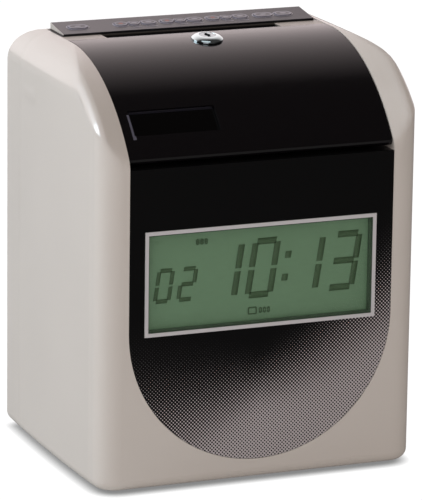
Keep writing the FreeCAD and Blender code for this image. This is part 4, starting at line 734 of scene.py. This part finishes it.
class AddDigits(bpy.types.Operator):
    """Add the dark bars of the display's date and time on the face of the cell"""
    bl_idname = "recorder.add_digits"
    bl_label = "Display digits"

    def execute(self, context):
        sizes = context.scene.recorder_display
        ink = printed_ink("display_bar_ink", sizes.dark, 300.0, 0.8, 0.3)
        bars = bar_tree()
        time_foot, date_foot = TIME_FOOT + CELL_SHIFT.y, DATE_FOOT + CELL_SHIFT.y
        time = number_lines(TIME_DIGITS, TIME_FOOT, sizes.large, sizes.large_bar)
        date = number_lines(DATE_DIGITS, DATE_FOOT, sizes.small, sizes.small_bar)
        rows = (("time", time, sizes.large_bar, sizes.slant, time_foot),
                ("colon", colon_lines(), sizes.large_bar, sizes.slant, time_foot),
                ("date", date, sizes.small_bar, sizes.slant, date_foot),
                ("marks", mark_lines(), MARK_LINE, 0.0, 0.0))
        meshes = []
        for label, lines, wide, slant, foot in rows:
            values = {"Bar Width": wide, "Slant": slant, "Foot": foot, "Depth": GLASS_Y - BAR_LIFT,
                      "Material": ink}
            meshes.append(grown_mesh(label, segment_mesh(label, lines), bars, values))
        add_piece("display_digits", joined("display_digits", meshes), "case")
        return {"FINISHED"}


def outline_tree():
    """Tree that draws an obround line of a given size and lays it on the sloping strip."""
    tree, entry, leave = new_tree("key_outline", [
        ("Wide", "NodeSocketFloat", 0.006), ("Deep", "NodeSocketFloat", 0.005),
        ("Line", "NodeSocketFloat", 0.0006), ("Thickness", "NodeSocketFloat", 0.0001),
        ("Centre", "NodeSocketVector", None), ("Turn", "NodeSocketVector", None),
        ("Material", "NodeSocketMaterial", None)])
    values = entry.outputs
    box = add_node(tree, "GeometryNodeCurvePrimitiveQuadrilateral", {
        "Width": values["Wide"], "Height": values["Deep"]})
    radius = add_node(tree, MATHS, (values["Deep"], 0.4999), operation="MULTIPLY")
    rounded = add_node(tree, "GeometryNodeFilletCurve", {
        "Curve": box, "Radius": radius, "Count": 10, "Limit Radius": True}, mode="POLY")
    profile = add_node(tree, "GeometryNodeCurvePrimitiveQuadrilateral", {
        "Width": values["Line"], "Height": values["Thickness"]})
    upright = add_node(tree, "GeometryNodeSetCurveNormal", {"Curve": rounded}, mode="Z_UP")
    line = add_node(tree, "GeometryNodeCurveToMesh", {"Curve": upright, "Profile Curve": profile})
    laid = add_node(tree, "GeometryNodeTransform", {"Geometry": line, "Translation": values["Centre"],
                                                    "Rotation": values["Turn"]})
    close_tree(tree, entry, leave, laid)
    return tree


def on_strip(x, along, up):
    """Point on the sloping strip, by its X, the way up the slope and the height over it."""
    slope = Vector((0, math.cos(STRIP_SLOPE), math.sin(STRIP_SLOPE)))
    normal = Vector((0, -math.sin(STRIP_SLOPE), math.cos(STRIP_SLOPE)))
    place = STRIP_FRONT + slope * along + normal * up
    return Vector((x, place.y, place.z))


class DressStrip(bpy.types.Operator):
    """Finish the strip and its keys, and print the outlines round them"""
    bl_idname = "recorder.dress_strip"
    bl_label = "Key strip"

    def execute(self, context):
        look = context.scene.recorder_strip
        finish_node("control_strip", keypad_overlay("#33323A", "#A69E95", "#141314", "#C9C4BD"))
        ink = printed_ink("strip_print_ink", look.ink, PAINT_CELLS, 0.85, 0.5)
        outline = outline_tree()
        seed = bpy.data.meshes.new("outline_seed")
        seed.from_pydata([(0, 0, 0)], [], [])
        meshes = []
        for name in KEYS:
            low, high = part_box(name)
            middle, wide = (low.x + high.x) / 2, high.x - low.x
            deep = SMALL_KEY_DEEP if "small" in name else KEY_DEEP
            rows = [(wide + OUTLINE_GAP, deep + OUTLINE_GAP, look.line, KEY_ROW)]
            if "small" in name or "oval" in name:
                rows.append((wide * BAR_SHARE, BAR_LINE, BAR_LINE, BAR_ROW))
            for across, along, line, row in rows:
                values = {"Wide": across, "Deep": along, "Line": line, "Turn": (STRIP_SLOPE, 0, 0),
                          "Centre": on_strip(middle, row, INK_LIFT), "Material": ink}
                meshes.append(grown_mesh(name + "_line", seed.copy(), outline, values))
            centre = on_strip(middle, KEY_ROW, 0)
            mark, radius = ("#8A4A44", (0.0011, 0.0011)) if "round" in name else ("#9A98A2", (0.0016, 0.0007))
            finish_node(name, printed_key(name, "#55535B", (centre.x, centre.y, 0), mark, radius,
                                          (wide / 2, KEY_RIM), "#8E8C98"))
        add_piece("strip_outlines", joined("strip_outlines", meshes), "case")
        return {"FINISHED"}


class DressMechanism(bpy.types.Operator):
    """Finish the card path, the feed, the printer, the frames and the electrics"""
    bl_idname = "recorder.dress_mechanism"
    bl_label = "Mechanism"

    def execute(self, context):
        around, along = (60, 400, 400), (900, 60, 60)
        finishes = {
            zinc_sheet("zinc_plated_sheet", "#C0C2C4"):
                "chute_front_plate chute_rear_plate card_stop left_side_frame right_side_frame",
            worked_metal("ground_steel_shafts", "#C4C4C6", 0.16, along):
                "feed_shaft pinch_shaft guide_rods lead_screw",
            worked_metal("zinc_small_screws", "#A9A8A4", 0.3): "display_screws",
            worked_metal("zinc_frame_screws", "#A9A8A4", 0.3): "frame_screws",
            worked_metal("turned_brass_pinion", "#C9A65A", 0.25): "motor_pinion",
            worked_metal("steel_motor_can", "#A5A7AA", 0.3, around): "feed_motor",
            worked_metal("steel_carriage_motor", "#A5A7AA", 0.3, around): "carriage_motor",
            worked_metal("cast_aluminium_head", "#8E9092", 0.42, (500, 500, 500), 0.3): "print_head",
            moulded_rubber("moulded_rubber_feed_rollers", "#5A5A5C"): "feed_rollers",
            moulded_rubber("moulded_rubber_pinch_rollers", "#5A5A5C"): "pinch_rollers",
            moulded_rubber("moulded_rubber_platen", "#232325"): "platen",
            moulded_plastic("moulded_acetal_parts", "#E2E1DA", 0.0008, 0.4):
                "chute_rails feed_gear ribbon_knob",
            moulded_plastic("black_abs_parts", "#1B1B1D", 0.0006, 0.5):
                "ribbon_cassette print_carriage key_switches power_jack",
            woven_ribbon("woven_nylon_ribbon", "#15151F"): "ink_ribbon",
            masked_board("green_solder_mask", "#145238", "#2F7A55"): "display_board keypad_board main_board",
            moulded_plastic("vinyl_wrapped_cells", "#2E6E4C", 0.002, 0.3): "backup_battery",
        }
        for finish, names in finishes.items():
            for name in names.split():
                finish_node(name, finish)
        return {"FINISHED"}


# Soft boxes: name, place in metres, size in metres, power in watts and tint
LIGHT_AIM = Vector((0, 0, 0.1))
LIGHTS = (
    ("window_left", (-1.3, 0.55, 0.8), 0.8, 10.6, (0.8, 0.89, 0.98)),
    ("small_window", (-1.24, 0.03, 0.98), 0.13, 1.9, (0.8, 0.89, 0.98)),
    ("overhead", (-0.35, -0.6, 1.45), 1.0, 2.2, (0.9, 0.95, 1)),
    ("front_fill", (-0.6, -1.1, 0.3), 0.8, 2.1, (1, 0.93, 0.97)),
)
# The camera as fitted to the photo, whose picture is 500 px high
CAMERA_PLACE = Vector((-0.706, FRONT_Y - 1.643, 0.5665))
YAW, PITCH, ROLL = math.radians(22.5), math.radians(14.33), 0.01378
FOCAL_PIXELS = 4054.5
PICTURE_HIGH = 500
SENSOR = 36


def area_light(name, place, size, power, tint):
    """Square soft box that looks at the middle of the machine."""
    lamp = bpy.data.lights.new(name, "AREA")
    lamp.shape = "RECTANGLE"
    lamp.size = lamp.size_y = size
    lamp.energy = power
    lamp.color = tint
    made = bpy.data.objects.new(name, lamp)
    made.location = place
    made.rotation_euler = (LIGHT_AIM - Vector(place)).to_track_quat("-Z", "Y").to_euler()
    bpy.context.scene.collection.objects.link(made)


def pale_floor():
    """Matt painted board: pale, with the machine's shadow and a painted contact shadow, a dark line where the
    machine meets it.
    """
    made, tree, shader = new_material("matt_painted_board")
    fill_sockets(tree, shader, {"Base Color": colour("#F2F1EF"), "Roughness": 0.9, "Specular IOR Level": 0.1})
    ray = add_node(tree, "ShaderNodeLightPath").outputs
    # Painted shadow: the light that the camera sees on the floor is dimmed by ambient occlusion close round
    # the machine
    near = add_node(tree, "ShaderNodeAmbientOcclusion", {"Distance": 0.006}, samples=16)
    lit = add_node(tree, RAMP, {"Value": near.outputs["AO"], "From Min": 0.15, "From Max": 0.85,
                                "To Min": 0.25, "To Max": 1.07})
    glow_with_contact_shadow = add_node(tree, "ShaderNodeEmission", {"Color": (1, 1, 1, 1), "Strength": lit})
    dim = add_node(tree, "ShaderNodeEmission", {"Color": (1, 1, 1, 1), "Strength": 0.12})
    seen = add_node(tree, MATHS, (ray["Is Camera Ray"], 0.96), operation="MULTIPLY")
    direct = add_node(tree, "ShaderNodeMixShader", (seen, shader, glow_with_contact_shadow))
    shiny = add_node(tree, MATHS, (ray["Is Glossy Ray"], ray["Is Transmission Ray"]), operation="MAXIMUM")
    mirrored = add_node(tree, MATHS, (shiny, 0.8), operation="MULTIPLY")
    shown = add_node(tree, "ShaderNodeMixShader", (mirrored, direct, dim))
    # Seen from below, the floor is clear, so that the underside can be looked at
    under = add_node(tree, "ShaderNodeNewGeometry").outputs["Backfacing"]
    clear = add_node(tree, "ShaderNodeBsdfTransparent")
    both = add_node(tree, "ShaderNodeMixShader", (under, shown, clear))
    fill_sockets(tree, tree.nodes["Material Output"], (both,))
    return made


def studio_world():
    """Soft surroundings: even light, a white ground for the camera and a pale backdrop seen in gloss."""
    world = bpy.data.worlds.new("studio")
    world.use_nodes = True
    tree = world.node_tree
    tree.nodes.clear()
    ray = add_node(tree, "ShaderNodeLightPath").outputs
    way = add_node(tree, "ShaderNodeTexCoord").outputs["Generated"]
    back = add_node(tree, "ShaderNodeSeparateXYZ", (way,)).outputs[1]
    # Seen in gloss, the pale backdrop stands behind and fades towards the front
    backdrop = add_node(tree, RAMP, {"Value": back, "From Min": 0.15, "From Max": 0.85,
                                     "To Min": 0.045, "To Max": 1.25})
    ambient = add_node(tree, "ShaderNodeBackground", {"Color": (1, 0.877, 0.82, 1), "Strength": 0.411})
    white = add_node(tree, "ShaderNodeBackground", {"Color": (1, 1, 1, 1), "Strength": 1.05})
    mirror = add_node(tree, "ShaderNodeBackground", {"Color": (1, 0.87, 0.87, 1), "Strength": backdrop})
    shiny = add_node(tree, MATHS, (ray["Is Glossy Ray"], ray["Is Transmission Ray"]), operation="MAXIMUM")
    first = add_node(tree, "ShaderNodeMixShader", (shiny, ambient, mirror))
    second = add_node(tree, "ShaderNodeMixShader", (ray["Is Camera Ray"], first, white))
    add_node(tree, "ShaderNodeOutputWorld", (second,))
    return world


def photo_camera():
    """Camera at the photo's angle: level turn, tilt and a slight roll, as fitted to the photo."""
    lens = bpy.data.cameras.new("camera")
    lens.sensor_fit = "VERTICAL"
    lens.sensor_width = lens.sensor_height = SENSOR
    lens.lens = FOCAL_PIXELS * SENSOR / PICTURE_HIGH
    lens.clip_end = 50
    camera = bpy.data.objects.new("camera", lens)
    ahead = Vector((math.sin(YAW) * math.cos(PITCH), math.cos(YAW) * math.cos(PITCH), -math.sin(PITCH)))
    right = Vector((math.cos(YAW), -math.sin(YAW), 0))
    up = right.cross(ahead)
    leaned_right = right * math.cos(ROLL) + up * math.sin(ROLL)
    leaned_up = up * math.cos(ROLL) - right * math.sin(ROLL)
    turn = Matrix((leaned_right, leaned_up, -ahead)).transposed()
    camera.matrix_world = Matrix.Translation(CAMERA_PLACE) @ turn.to_4x4()
    return camera


class SetStage(bpy.types.Operator):
    """Set the pale floor, the soft lights, the surroundings and the camera"""
    bl_idname = "recorder.set_stage"
    bl_label = "Stage"

    def execute(self, context):
        scene = context.scene
        plane = bmesh.new()
        bmesh.ops.create_grid(plane, x_segments=1, y_segments=1, size=6.0)
        mesh = bpy.data.meshes.new("floor")
        plane.to_mesh(mesh)
        plane.free()
        mesh.materials.append(pale_floor())
        floor = bpy.data.objects.new("floor", mesh)
        scene.collection.objects.link(floor)
        scene.world = studio_world()
        for light in LIGHTS:
            area_light(*light)
        scene.camera = photo_camera()
        scene.collection.objects.link(scene.camera)
        scene.view_settings.view_transform = "Standard"
        return {"FINISHED"}


class RECORDER_PT_panel(bpy.types.Panel):
    """Lists the steps that dress the recorder"""
    bl_idname = "RECORDER_PT_panel"
    bl_label = "Recorder"
    bl_space_type = "VIEW_3D"
    bl_region_type = "UI"
    bl_category = "Recorder"

    def draw(self, context):
        for step in STEPS:
            self.layout.operator(step.bl_idname)


STEPS = (DressCase, DressCover, DressPanel, AddDigits, DressStrip, DressMechanism, SetStage)
GROUPS = {"recorder_case": CaseFinish, "recorder_print": PanelPrint, "recorder_display": DisplaySizes,
          "recorder_strip": StripPrint}


def register():
    """Make the sizes, the steps and the panel known."""
    for kind in (*GROUPS.values(), *STEPS, RECORDER_PT_panel):
        bpy.utils.register_class(kind)
    for name, kind in GROUPS.items():
        setattr(bpy.types.Scene, name, bpy.props.PointerProperty(type=kind))


def unregister():
    """Take them back."""
    for name in GROUPS:
        delattr(bpy.types.Scene, name)
    for kind in reversed((*GROUPS.values(), *STEPS, RECORDER_PT_panel)):
        bpy.utils.unregister_class(kind)


def main():
    """Dress the recorder step by step."""
    register()
    for step in STEPS:
        area, word = step.bl_idname.split(".")
        getattr(getattr(bpy.ops, area), word)()


if __name__ == "__main__":
    main()
